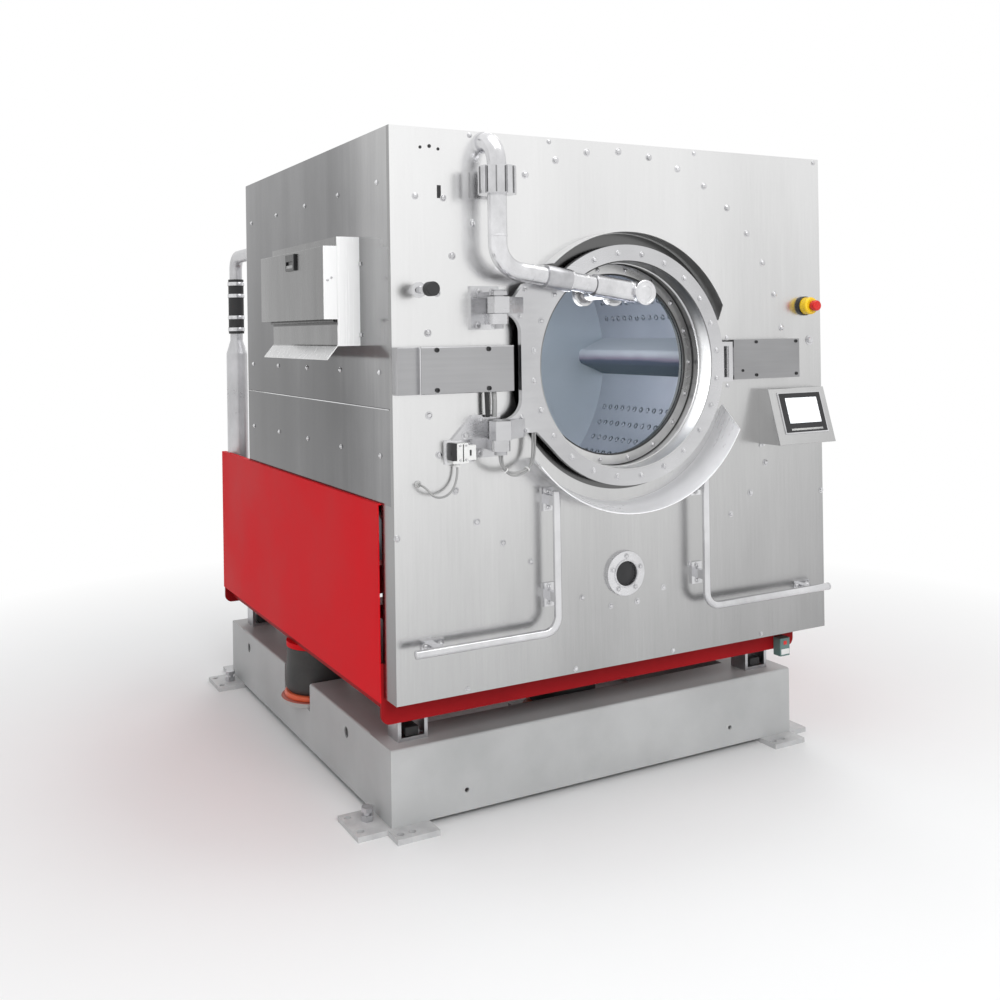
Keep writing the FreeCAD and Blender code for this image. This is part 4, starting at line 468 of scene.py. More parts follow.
DRUM_END_STEEL = drum_end_steel("drum_end_steel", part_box("drum_ends")[0].y)
LIFTER_STEEL = lifter_steel("lifter_steel", DRUM_AXIS.z)
TUB_STEEL = steel("tub_steel", 0.10, 0.18, 0.4, (4, 30, 4), cloud=2.0)
COVER_STEEL = steel("cover_steel", 0.35, 0.47, 0.30, (3, 60, 90), cloud=1.8, grain=0.3)
# The cover's steel again, darker: painted shade on the lock box.
LOCK_SHADED_STEEL = steel("lock_box_shaded_steel", 0.27, 0.38, 0.30, (3, 60, 90), cloud=1.8, grain=0.3)
BOLT_STEEL = steel("bolt_steel", 0.50, 0.78, 0.2, (60, 60, 60), cloud=30.0, grain=0.3, lines=0.03)
ZINC = steel("zinc_plate", 0.38, 0.62, 0.32, (20, 20, 20), cloud=16.0, grain=0.4, blue=1.03)
RED_PAINT = paint("red_paint", (0.66, 0.009, 0.015), (0.76, 0.013, 0.021), 0.5, gloss=0.05)
# The red paint again, darker: painted shade on the chassis beams under the front sheet.
SHADED_RED = paint("red_paint_in_shade", (0.27, 0.007, 0.010), (0.35, 0.010, 0.013), 0.5, gloss=0.08)
BASE_PAINT = paint("base_paint", (0.41, 0.415, 0.415), (0.51, 0.515, 0.515), 0.42, gloss=0.3, scale=3.0)
FOOT_PAINT = paint("foot_paint", (0.46, 0.46, 0.465), (0.60, 0.60, 0.60), 0.45, scale=18.0)
CAST = paint("cast_paint", (0.10, 0.105, 0.11), (0.16, 0.165, 0.17), 0.55, peel=0.2)
MOTOR_PAINT = paint("motor_paint", (0.06, 0.085, 0.11), (0.10, 0.13, 0.16), 0.45, peel=0.12)
RUBBER = moulded("black_rubber", (0.018, 0.018, 0.019), (0.035, 0.035, 0.036), 0.62)
BELLOWS_RUBBER = moulded("bellows_rubber", (0.020, 0.020, 0.020), (0.060, 0.058, 0.055), 0.55, 160.0, 0.12)
BLACK_PLASTIC = moulded("black_plastic", (0.010, 0.010, 0.011), (0.020, 0.020, 0.022), 0.32)
GREY_PLASTIC = moulded("grey_plastic", (0.36, 0.36, 0.36), (0.48, 0.48, 0.47), 0.42)
PALE_PLASTIC = moulded("pale_plastic", (0.66, 0.66, 0.65), (0.76, 0.76, 0.75), 0.4)
TEAL_PLASTIC = moulded("teal_plastic", (0.07, 0.14, 0.13), (0.13, 0.21, 0.20), 0.4)
STOP_YELLOW = moulded("stop_yellow", (0.78, 0.50, 0.012), (0.88, 0.60, 0.02), 0.3)
STOP_RED = moulded("stop_red", (0.58, 0.010, 0.008), (0.68, 0.02, 0.014), 0.26)
LEAD_GREY = moulded("lead_grey", (0.26, 0.26, 0.26), (0.36, 0.36, 0.355), 0.42)
TIE_WHITE = moulded("tie_white", (0.70, 0.70, 0.69), (0.80, 0.80, 0.79), 0.4)
GLASS = glass_finish("door_pane")
SCREEN = screen_finish("lit_screen")
SEAT = seat_finish("seat_and_ring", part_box("spring_seats")[0].z + 0.016)

CAD_FINISH = {
    FRONT_STEEL: ["front_panel", "console_housing"],
    SIDE_STEEL: ["casing_sheets"],
    HOPPER_STEEL: ["hopper_housing", "hopper_lid"],
    DOOR_STEEL: ["door_ring", "hinge_plate", "lock_tab", "rear_panel"],
    BRACKET_STEEL: ["hinge_brackets", "sight_port"],
    BRIGHT_STEEL: ["guard_rails"],
    CLAMP_STEEL: ["clamp_ring"],
    BOWL_STEEL: ["door_bowl"],
    PIPE_STEEL: ["spray_pipe", "water_inlet"],
    NOZZLE_STEEL: ["spray_nozzles"],
    VENT_STEEL: ["vent_pipe"],
    VISOR_STEEL: ["visor"],
    SCOOP_STEEL: ["scoop"],
    DRUM_STEEL: ["drum_shell"],
    DRUM_END_STEEL: ["drum_ends"],
    LIFTER_STEEL: ["drum_lifters"],
    TUB_STEEL: ["tub_shell", "tub_ends", "tub_saddles"],
    COVER_STEEL: ["hinge_cover"],
    LOCK_SHADED_STEEL: ["lock_housing"],
    ZINC: ["levelling_bolts", "stop_brackets", "hinge_pins", "lock_bolt"],
    RED_PAINT: ["red_side_panels", "spring_caps"],
    SHADED_RED: ["chassis_beams"],
    BASE_PAINT: ["base_side_beams", "base_cross_beams"],
    FOOT_PAINT: ["foot_plates"],
    CAST: ["drain_valve", "bearing_housing", "drum_spider", "drum_pulley", "motor_pulley"],
    MOTOR_PAINT: ["motor"],
    RUBBER: ["belts", "rubber_stops", "door_seal", "door_bumper", "vent_sleeve"],
    BELLOWS_RUBBER: ["air_bellows"],
    BLACK_PLASTIC: ["console_screen", "hopper_latch"],
    PALE_PLASTIC: ["door_switch"],
    TEAL_PLASTIC: ["tilt_switch"],
    STOP_YELLOW: ["e_stop_body"],
    STOP_RED: ["e_stop_button"],
    LEAD_GREY: ["door_cable", "switch_lead"],
    GLASS: ["door_glass"],
    SEAT: ["spring_seats"],
}
for material, names in CAD_FINISH.items():
    for name in names:
        cad[name].data.materials.clear()
        cad[name].data.materials.append(material)


# Fasteners and small pieces

def dome(bm, base, axis, radius, steps=12):
    """Low domed bolt head on its washer."""
    w = radius * 1.45
    rise = radius * 0.28
    profile = [(0, 0), (w, 0), (w, rise * 0.7), (w * 0.94, rise), (radius, rise),
               (radius * 0.95, rise + radius * 0.35), (radius * 0.7, rise + radius * 0.62),
               (radius * 0.3, rise + radius * 0.74), (0, rise + radius * 0.76)]
    lathe(bm, profile, base, axis, steps)


def hex_head(bm, base, axis, radius):
    """Hexagon head on a round washer."""
    washer = radius * 0.22
    lathe(bm, [(0, 0), (radius * 1.5, 0), (radius * 1.5, washer), (0, washer)], base, axis, 14)
    profile = [(0, 0), (radius, 0), (radius, radius * 0.62), (radius * 0.86, radius * 0.74), (0, radius * 0.74)]
    lathe(bm, profile, Vector(base) + Vector(axis) * washer, axis, 6)


def socket_screw(bm, base, axis, radius):
    """Round black head with a hollow."""
    profile = [(0, 0), (radius, 0), (radius, radius * 0.5), (radius * 0.85, radius * 0.62),
               (radius * 0.5, radius * 0.62), (radius * 0.45, radius * 0.2), (0, radius * 0.2)]
    lathe(bm, profile, base, axis, 12)


def on_axis(y):
    return Vector((0, y, DRUM_AXIS.z))


def at_front(x, z):
    return Vector((x, FRONT, z))


def middle_of(node):
    low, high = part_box(node)
    return (low + high) / 2


def on_circle(radius, y, count, start=0.0, drop=0.0):
    """Places round the drum axis, or a little below it, in a plane across it."""
    step = math.tau / count
    return [Vector((DRUM_AXIS.x + radius * math.cos(start + i * step), y,
                    DRUM_AXIS.z - drop + radius * math.sin(start + i * step))) for i in range(count)]


def front_bolts():
    """Bolts that hold the front sheet to the tub's flange, and the single ones round its edge."""
    flange_circle, flange_drop = 0.731, 0.010
    edge_margin = 0.014
    lowest = 0.95
    bm = bmesh.new()
    for place in on_circle(flange_circle, FRONT, 36, drop=flange_drop):
        covered = cover_low.x < place.x < cover_high.x and cover_low.z - 0.02 < place.z < cover_high.z + 0.02
        covered = covered or (lock_low.x < place.x < lock_high.x and abs(place.z - DRUM_AXIS.z) < 0.11)
        if place.z > lowest and not covered:
            dome(bm, place, OUT, 0.0085)
    lower = [(-0.467, 0.913), (-0.365, 0.842), (-0.170, 0.701), (0.164, 0.694), (0.278, 0.763), (0.467, 0.919)]
    singles = [(-0.756, 2.005), (-0.661, 2.003), (0.906, 0.969), (-0.832, 0.963), (-0.056, 0.658), (0.052, 0.660)]
    for x, z in singles + lower:
        dome(bm, at_front(x, z), OUT, 0.0075)
    for x in (-0.566, -0.482, -0.274, 0.324, 0.890):
        dome(bm, at_front(x, panel_high.z - edge_margin), OUT, SHEET_BOLT)
    for x in (-0.6, -0.2, 0.2, 0.6):
        dome(bm, at_front(x, panel_low.z + edge_margin), OUT, SHEET_BOLT)
    piece("front_sheet_bolts", bm, BOLT_STEEL)
    bm = bmesh.new()
    hex_head(bm, at_front(0.857, 1.537), OUT, 0.012)
    piece("earth_bolt", bm, BOLT_STEEL)


def front_holes():
    """Small plugged holes and a slot in the upper left of the front sheet."""
    bm = bmesh.new()
    for x, z, r in ((-0.737, 2.156, 0.005), (-0.706, 2.161, 0.006), (-0.676, 2.154, 0.005)):
        lathe(bm, [(0, 0), (r, 0), (r, 0.0012), (r * 0.6, 0.0016), (0, 0.0012)], at_front(x, z), OUT, 12)
    block(bm, (-0.6815, FRONT - 0.0016, 2.002), (-0.6685, FRONT, 2.042), 0.0007)
    piece("front_sheet_plugs", bm, BLACK_PLASTIC, "machine")


def side_bolts():
    """Rows of bolts that hold the side sheets and the rear panel to the frame behind them, and the seam strips."""
    first, pitch = -0.986, 0.343
    strip = 0.0015
    bm = bmesh.new()
    for i in range(5):
        y = first + pitch * i
        for z in (1.206, 1.465, 2.054):
            dome(bm, Vector((LEFT_SIDE, y, z)), LEFT, SHEET_BOLT)
            dome(bm, Vector((RIGHT_SIDE, y, z)), -LEFT, SHEET_BOLT)
    for z in (1.12, 1.39, 1.66, 1.93, 2.18):
        for x in (-0.80, -0.40, 0.03, 0.47, 0.87):
            dome(bm, Vector((x, REAR, z)), -OUT, SHEET_BOLT)
    piece("sheet_bolts", bm, BOLT_STEEL)
    bm = bmesh.new()
    for left, right in ((LEFT_SIDE - strip, LEFT_SIDE), (RIGHT_SIDE, RIGHT_SIDE + strip)):
        block(bm, (left, -1.06, 1.3505), (right, 0.46, 1.3538), 0.0005)
    piece("seam_strips", bm, BRIGHT_STEEL)


def door_bolts():
    """Bolts of the door ring and studs of the glass clamp."""
    ring_circle, stud_circle = 0.374, 0.328
    bm = bmesh.new()
    for place in on_circle(ring_circle, DOOR_FACE, 24, math.radians(6.3)):
        dome(bm, place, OUT, 0.0075)
    for place in on_circle(stud_circle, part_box("clamp_ring")[0].y, 18):
        dome(bm, place, OUT, 0.0065)
    for x, z in ((-0.401, 1.718), (-0.421, 1.633), (-0.421, 1.316), (-0.400, 1.270), (0.418, 1.552), (0.418, 1.384)):
        dome(bm, Vector((x, DOOR_FACE, z)), OUT, 0.006)
    piece("door_bolts", bm, BOLT_STEEL, "door")


def bowl_rings():
    """Dark seals round the clamp and against the glass, and a rolled bead on the bowl's wall."""
    clamp_low, clamp_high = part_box("clamp_ring")
    wall = bowl_high.x - BOWL_WALL
    lip = wall - 0.003
    inner = clamp_high.x - CLAMP_WIDTH
    seal = inner - 0.004
    bm = bmesh.new()
    lathe(bm, [(lip, 0), (wall - 0.0004, 0), (wall - 0.0004, 0.0024), (wall - 0.002, 0.003), (lip, 0.002), (lip, 0)],
          on_axis(clamp_low.y), OUT, RING_STEPS)
    lathe(bm, [(seal, 0.0), (seal, 0.005), (inner - 0.0002, 0.007), (inner - 0.0002, 0.0), (seal, 0.0)],
          on_axis(clamp_high.y), OUT, RING_STEPS)
    piece("glass_seals", bm, RUBBER, "door")
    bm = bmesh.new()
    lathe(bm, [(wall + 0.0002, 0.0), (wall - 0.0025, 0.002), (lip, 0.005), (wall - 0.0025, 0.008),
               (wall + 0.0002, 0.010)], on_axis(clamp_low.y - 0.030), OUT, RING_STEPS)
    piece("bowl_bead", bm, CLAMP_STEEL, "door")


def housing_screws():
    """Screws of the hinge cover and the lock box, and bright strips on the cover's edges as painted highlights."""
    bm = bmesh.new()
    for x in (-0.711, -0.532):
        for z in (1.410, 1.5325):
            socket_screw(bm, Vector((x, cover_low.y, z)), OUT, 0.0075)
    for x in (0.555, 0.745):
        for z in (1.417, 1.5385):
            socket_screw(bm, Vector((x, lock_low.y, min(z, lock_high.z - 0.009))), OUT, 0.006)
    socket_screw(bm, Vector((0.4915, lock_low.y, 1.4345)), OUT, 0.005)
    piece("housing_screws", bm, BLACK_PLASTIC, "machine")
    # Bright steel strips on the cover's step and top edges: painted highlights.
    bm = bmesh.new()
    step = cover_high.x - 0.330
    shelf = FRONT - 0.030
    block(bm, (step - 0.004, cover_low.y + 0.001, cover_low.z), (step, shelf, cover_high.z), 0.0008)
    block(bm, (cover_low.x, FRONT - 0.0315, cover_high.z - 0.003), (step, shelf, cover_high.z), 0.0005)
    block(bm, (step, cover_low.y - 0.0006, cover_high.z - 0.0035),
          (cover_high.x - 0.008, cover_low.y, cover_high.z), 0.0003)
    piece("cover_edge_highlights", bm, BRIGHT_STEEL)


def hinge_fasteners():
    """Bolts of the hinge brackets and the two conduits beside the lower hinge."""
    bm = bmesh.new()
    for x, z in ((-0.549, 1.712), (-0.495, 1.712), (-0.553, 1.607), (-0.490, 1.607), (-0.541, 1.312), (-0.600, 1.264),
                 (-0.550, 1.205)):
        hex_head(bm, Vector((x, FRONT - 0.010, z)), OUT, 0.009)
    piece("hinge_bolts", bm, BOLT_STEEL)
    top, middle, foot = 1.400, 1.36, 1.318
    left = [(-0.530, FRONT - 0.022, top), (-0.530, FRONT - 0.024, middle), (-0.528, FRONT - 0.024, foot)]
    lead("hinge_conduit_left", left, 0.007, BLACK_PLASTIC, "machine")
    right = [(-0.503, FRONT - 0.020, top), (-0.500, FRONT - 0.022, middle), (-0.503, FRONT - 0.020, foot)]
    lead("hinge_conduit_right", right, 0.008, LEAD_GREY, "machine")


def port_details():
    """Bolts and rim of the sight port and its dark glass."""
    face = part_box("sight_port")[0].y
    middle = middle_of("sight_port")
    bolt_circle = 0.059
    bm = bmesh.new()
    for i in range(5):
        a = math.tau * i / 5 + math.radians(18)
        place = Vector((middle.x + bolt_circle * math.cos(a), face, middle.z + bolt_circle * math.sin(a)))
        dome(bm, place, OUT, 0.0065)
    lathe(bm, [(0.044, 0), (0.049, 0), (0.049, 0.003), (0.046, 0.004), (0.044, 0.003), (0.044, 0)],
          Vector((middle.x, face, middle.z)), OUT, 32)
    piece("port_bolts", bm, BOLT_STEEL)
    bm = bmesh.new()
    lathe(bm, [(0, 0), (0.0415, 0), (0.0415, 0.002), (0.036, 0.0035), (0, 0.0045)],
          at_front(middle.x, middle.z), OUT, 32)
    piece("port_glass", bm, BLACK_PLASTIC, "machine")


def drum_dimples():
    """Pressed dimples in rows along the drum's wall, between its lifters."""
    low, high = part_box("drum_shell")
    inner = high.x - 0.004
    first, sweep, rows = math.radians(14.5), math.radians(55.8), 10
    pitch = 0.046
    out = Vector((math.cos(first), 0, math.sin(first)))
    bm = bmesh.new()
    y = low.y + 0.05
    while y < high.y - 0.04:
        lathe(bm, [(0.0135, 0.0), (0.0105, 0.004), (0.0065, 0.0048), (0.005, 0.002), (0, 0.002)],
              on_axis(y) + out * inner, -out, 8)
        y += pitch
    for angle, steps in ((sweep, rows - 1), (math.radians(270), 3)):
        bmesh.ops.spin(bm, geom=whole(bm), cent=DRUM_AXIS, axis=(0, -1, 0), angle=angle, steps=steps,
                       use_duplicate=True)
    piece("drum_dimples", bm, DIMPLE_STEEL, "drum")


def spray_pipe_fittings():
    """Bare plate bent round the pipe, weld rings, the coupling's bead and the rim of the end cap."""
    slope = math.radians(8.2)
    along = Vector((math.cos(slope), 0, -math.sin(slope)))
    elbow = 1.783

    def on_pipe(x):
        return Vector((x, HINGE.y, elbow - math.tan(slope) * (x - HINGE.x)))

    bm = bmesh.new()
    lathe(bm, [(0.0303, 0), (0.0362, 0.0), (0.0366, 0.002), (0.0366, 0.087), (0.0362, 0.089), (0.0353, 0.089)],
          on_pipe(-0.352), along, 40)
    piece("pipe_plate", bm, ZINC, "door")
    bm = bmesh.new()
    for x, radius in ((-0.405, 0.0302), (-0.205, 0.0302), (-0.170, 0.0350), (-0.035, 0.0360)):
        lathe(bm, [(radius - 0.0004, 0), (radius + 0.001, 0.001), (radius + 0.0016, 0.003), (radius + 0.001, 0.005),
                   (radius - 0.0004, 0.006)], on_pipe(x), along, 32)
    lathe(bm, [(0.0300, 0), (0.0312, 0.001), (0.0316, 0.003), (0.0312, 0.005), (0.0300, 0.006)],
          Vector((HINGE.x, HINGE.y, 1.880)), UP, 32)
    cap = Vector((0.006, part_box("spray_pipe")[0].y, 1.707))
    lathe(bm, [(0, 0.0010), (0.016, 0.0010), (0.018, 0.0022), (0.021, 0.0022), (0.023, 0.0008), (0.0335, 0.0008),
               (0.0350, 0.0026), (0.0395, 0.0026), (0.0414, 0.0008), (0.0416, -0.006), (0.0408, -0.007),
               (0, -0.0005)], cap, OUT, 40)
    piece("pipe_welds", bm, PIPE_STEEL, "door")


def union_slot_shades():
    """Dark blocks in the bottoms of the wrench slots round the union nut, as painted shade."""
    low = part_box("water_inlet")[0]
    radius = HINGE.y - low.y
    slots = 12
    half = 0.0020
    bm = bmesh.new()
    block(bm, (HINGE.x - half, HINGE.y - radius - 0.0003, low.z + 0.003),
          (HINGE.x + half, HINGE.y - radius + 0.003, low.z + 0.083), 0.0006)
    bmesh.ops.spin(bm, geom=whole(bm), cent=(HINGE.x, HINGE.y, 0), axis=(0, 0, 1),
                   angle=math.tau * (slots - 1) / slots, steps=slots - 1, use_duplicate=True)
    piece("union_slot_shades", bm, SLOT_SHADE_STEEL)


def nozzle_rims():
    """Raised rims and bolts of the two nozzle flanges."""
    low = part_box("spray_nozzles")[0]
    rim, bolt_circle = 0.006, 0.033
    bm = bmesh.new()
    for x in (-0.115, 0.006):
        base = Vector((x, low.y, 1.7068))
        lathe(bm, [(0.026, 0), (0.0395, 0), (0.0395, 0.004), (0.036, rim), (0.030, rim), (0.026, 0.003), (0.026, 0)],
              base, OUT, 36)
        for i in range(6):
            a = math.tau * i / 6
            place = base + Vector((bolt_circle * math.cos(a), -rim, bolt_circle * math.sin(a)))
            dome(bm, place, OUT, 0.0032, steps=8)
    piece("nozzle_rims", bm, DOOR_STEEL, "door")


def rail_fasteners():
    """Two bolts on each bracket plate of the guard rails and caps on the rails' ends."""
    low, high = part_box("guard_rails")
    lower = low.z + 0.022
    upper = high.z - 0.008
    plate = FRONT - 0.008
    spread = 0.026
    bolt = 0.0075
    bm = bmesh.new()
    for side, far in ((-RAIL_X, low.x + 0.080), (RAIL_X, high.x - 0.080)):
        for z in (upper - 0.030, lower + 0.108):
            for rise in (-spread, spread):
                dome(bm, Vector((side, plate, z + rise)), OUT, bolt)
        for shift in (-spread, spread):
            dome(bm, Vector((far + shift, plate, lower + 0.004)), OUT, bolt)
    y = low.y + 0.013
    cap = [(0, -0.006), (0.0134, -0.006), (0.0134, 0.001), (0.0115, 0.003), (0, 0.004)]
    for x, z, way in ((low.x, lower, LEFT), (high.x, lower, -LEFT), (-RAIL_X, upper, UP), (RAIL_X, upper, UP)):
        lathe(bm, cap, Vector((x, y, z)), way, 24)
    piece("rail_bolts", bm, BOLT_STEEL)


def console_details():
    """Bright frame round the touch panel, the lit screen and a strip in it, and two tabs under the console."""
    low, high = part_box("console_screen")
    house_low, house_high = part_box("console_housing")
    lean = math.atan2(0.062, 0.200)
    tilt = Matrix.Rotation(-lean, 3, "X")
    middle = (low + high) / 2
    face = tilt @ OUT
    rise = tilt @ UP
    wide, tall = (high.x - low.x) / 2, 0.146 / 2

    def panel(name, x, z, lift, thick, material, shift=(0.0, 0.0), hollow=None):
        """Leaning plate of half sizes x and z, or a frame with sides as wide as hollow."""
        bm = bmesh.new()
        bands = [(-x, -z, x, z)]
        if hollow:
            in_x, in_z = x - hollow, z - hollow
            bands = [(-x, in_z, x, z), (-x, -z, x, -in_z), (-x, -in_z, -in_x, in_z), (in_x, -in_z, x, in_z)]
        for x0, z0, x1, z1 in bands:
            block(bm, (x0, -thick / 2, z0), (x1, thick / 2, z1), thick * 0.3)
        bmesh.ops.rotate(bm, cent=(0, 0, 0), matrix=tilt, verts=bm.verts)
        place = middle + face * lift + rise * shift[1] + Vector((shift[0], 0, 0))
        bmesh.ops.translate(bm, vec=place, verts=bm.verts)
        piece(name, bm, material, "machine")

    skin, margin, aside = 0.0026, 0.024, 0.002
    panel("screen_frame", wide + 0.004, tall + 0.004, -0.0005, 0.005, BRIGHT_STEEL, hollow=0.009)
    panel("lit_screen", wide - margin, tall - 0.026, skin, 0.0012, SCREEN, (aside, 0.008))
    panel("screen_strip", wide - margin, 0.0035, skin, 0.0010, GREY_PLASTIC, (aside, -0.062))
    bm = bmesh.new()
    half, thick = 0.012, 0.004
    for x in (house_low.x + 0.010, house_high.x - 0.010):
        block(bm, (x - half, FRONT - thick, house_low.z - 0.012), (x + half, FRONT, house_low.z), 0.001)
        dome(bm, Vector((x, FRONT - thick, house_low.z - 0.007)), OUT, 0.003)
    piece("console_tabs", bm, BOLT_STEEL)


def e_stop_details():
    """Dark foot ring under the yellow body."""
    middle = middle_of("e_stop_body")
    bm = bmesh.new()
    lathe(bm, [(0.0325, 0), (0.0352, 0), (0.0356, 0.003), (0.0356, 0.011), (0.0346, 0.0128), (0.0325, 0.0128),
               (0.0325, 0)], at_front(middle.x, middle.z), OUT, 40)
    piece("e_stop_foot", bm, BLACK_PLASTIC, "machine")


def bumper_details():
    """Steel stem of the door bumper and the dark ring on its tip."""
    middle = middle_of("door_bumper")
    bm = bmesh.new()
    lathe(bm, [(0.0112, 0), (0.024, 0), (0.024, 0.006), (0.019, 0.009), (0.0125, 0.010), (0.0125, 0.060),
               (0.0112, 0.060)], at_front(middle.x, middle.z), OUT, 32)
    piece("bumper_stem", bm, BRIGHT_STEEL)
    bm = bmesh.new()
    tip = Vector((middle.x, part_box("door_bumper")[0].y, middle.z))
    lathe(bm, [(0.0095, -0.004), (0.0165, -0.004), (0.0165, -0.0002), (0.0130, 0.0), (0.0095, -0.0006),
               (0.0095, -0.004)], tip, OUT, 32)
    piece("bumper_tip", bm, BLACK_PLASTIC, "machine")


def switch_details():
    """Dark parts, screws and plate of the door switch, and the cover and tab of the tilt switch."""
    low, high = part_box("door_switch")
    bm = bmesh.new()
    block(bm, (low.x - 0.0015, FRONT - 0.0435, 1.190), (low.x + 0.013, FRONT - 0.001, 1.2445), 0.0015)
    block(bm, (low.x + 0.060, FRONT - 0.0375, 1.203), (low.x + 0.066, FRONT - 0.030, 1.221), 0.0005)
    block(bm, (low.x + 0.0335, FRONT - 0.0432, 1.186), (low.x + 0.0365, FRONT - 0.004, 1.240), 0.0005)
    piece("switch_slots", bm, BLACK_PLASTIC, "machine")
    bm = bmesh.new()
    for x in (0.024, 0.044):
        for z in (1.192, 1.236):
            dome(bm, Vector((low.x + x, low.y, z)), OUT, 0.0032, steps=8)
    block(bm, (low.x - 0.012, FRONT - 0.004, 1.176), (high.x + 0.010, FRONT, 1.252), 0.001)
    piece("switch_plate", bm, BOLT_STEEL)
    low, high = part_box("tilt_switch")
    bm = bmesh.new()
    block(bm, (low.x + 0.004, low.y - 0.0008, low.z + 0.006), (high.x - 0.004, low.y + 0.002, low.z + 0.026), 0.0004)
    piece("tilt_switch_cover", bm, PALE_PLASTIC, "machine")
    bm = bmesh.new()
    block(bm, (low.x + 0.016, low.y - 0.001, high.z - 0.024), (high.x - 0.016, low.y + 0.002, high.z - 0.010), 0.0006)
    piece("tilt_switch_tab", bm, STOP_RED, "machine")


def hopper_details():
    """Latch handle, screws in the lid's end and the tabs that hold the box to the sheet."""
    latch_low, latch_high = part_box("hopper_latch")
    house_low, house_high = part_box("hopper_housing")
    lid_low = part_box("hopper_lid")[0]
    bm = bmesh.new()
    block(bm, (latch_low.x - 0.0006, latch_low.y + 0.014, latch_low.z + 0.008),
          (latch_low.x + 0.004, latch_high.y - 0.014, latch_low.z + 0.019), 0.0018)
    piece("latch_handle", bm, GREY_PLASTIC, "soap_lid")
    bm = bmesh.new()
    for x, up in ((0.013, 0.134), (0.026, 0.142)):
        dome(bm, Vector((lid_low.x + x, lid_low.y, lid_low.z + up)), OUT, 0.003, steps=8)
    piece("lid_screws", bm, BOLT_STEEL, "soap_lid")
    bm = bmesh.new()
    tab = LEFT_SIDE - 0.004
    for share in (0.78, 0.20):
        z = house_low.z + (house_high.z - house_low.z) * share
        block(bm, (tab, house_low.y - 0.018, z - 0.006), (LEFT_SIDE, house_low.y, z + 0.006), 0.0008)
        dome(bm, Vector((tab, house_low.y - 0.010, z)), LEFT, 0.0035, steps=8)
    piece("soap_box_tabs", bm, BOLT_STEEL)


def vent_details():
    """Steel clamp bands on the rubber sleeve."""
    low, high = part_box("vent_sleeve")
    middle = (low + high) / 2
    half = 0.008
    bm = bmesh.new()
    for share in (0.08, 0.3, 0.7, 0.92):
        z = low.z + (high.z - low.z) * share
        lathe(bm, [(0.0345, -half), (0.0368, -half), (0.0374, -0.006), (0.0374, 0.006), (0.0368, half),
                   (0.0345, half)], Vector((middle.x, middle.y, z)), UP, 36)
    piece("sleeve_bands", bm, BOLT_STEEL)


def base_details():
    """Bolt heads and rubber pads of the corner stops, and dark discs set into the side beams' holes as painted shade.
    """
    low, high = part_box("stop_brackets")
    seat = low.z + 0.012
    in_x, in_y = 0.053, 0.042
    stops = [(x, y) for x in (low.x + in_x, high.x - in_x) for y in (low.y + in_y, high.y - in_y)]
    bm = bmesh.new()
    for x, y in stops:
        for shift in (-0.036, 0.036):
            hex_head(bm, Vector((x + shift, y, seat)), UP, 0.008)
    piece("stop_bolts", bm, ZINC, "base")
    bm = bmesh.new()
    for x, y in stops:
        block(bm, (x - 0.024, y - 0.036, seat), (x + 0.024, y + 0.036, seat + 0.030), 0.004)
    piece("stop_pads", bm, RUBBER, "base")
    beam_low, beam_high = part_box("base_side_beams")
    # Black discs a little way inside the beam holes: painted shade of the deep holes.
    bm = bmesh.new()
    for y in (beam_low.y + 0.216, beam_high.y - 0.090):
        for x, way in ((beam_low.x + 0.006, LEFT), (beam_high.x - 0.006, -LEFT)):
            lathe(bm, [(0, 0), (0.0186, 0), (0.0186, 0.002), (0.015, 0.003), (0.012, 0.001), (0, 0.001)],
                  Vector((x, y, beam_high.z - 0.062)), way, 24)
    piece("beam_hole_shades", bm, BLACK_PLASTIC, "base")


def bellows():
    """Rubber air springs, nearly straight, with a bead at each end and a bulge low down."""
    low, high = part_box("air_bellows")
    tall = high.z - low.z
    widest = (high.y - low.y - 2 * SPRING_PITCH) / 2
    shape = [(0.0, 0.0), (0.89, 0.0), (0.91, 0.03), (0.965, 0.07), (0.99, 0.14), (1.0, 0.22), (0.996, 0.32),
             (0.983, 0.42), (0.966, 0.53), (0.954, 0.64), (0.948, 0.75), (0.945, 0.85), (0.95, 0.89), (0.955, 0.94),
             (0.94, 0.985), (0.92, 1.0), (0.0, 1.0)]
    x_mid = (low.x + high.x) / 2
    bm = bmesh.new()
    for x, y in ((low.x + widest, 0.0), (high.x - widest, 0.0), (x_mid, -SPRING_PITCH), (x_mid, SPRING_PITCH)):
        lathe(bm, [(r * widest, h * tall) for r, h in shape], Vector((x, y, low.z)), UP, 48)
    rubber = piece("rubber_bellows", bm, BELLOWS_RUBBER, None)
    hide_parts("air_bellows")
    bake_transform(rubber)


# Leads

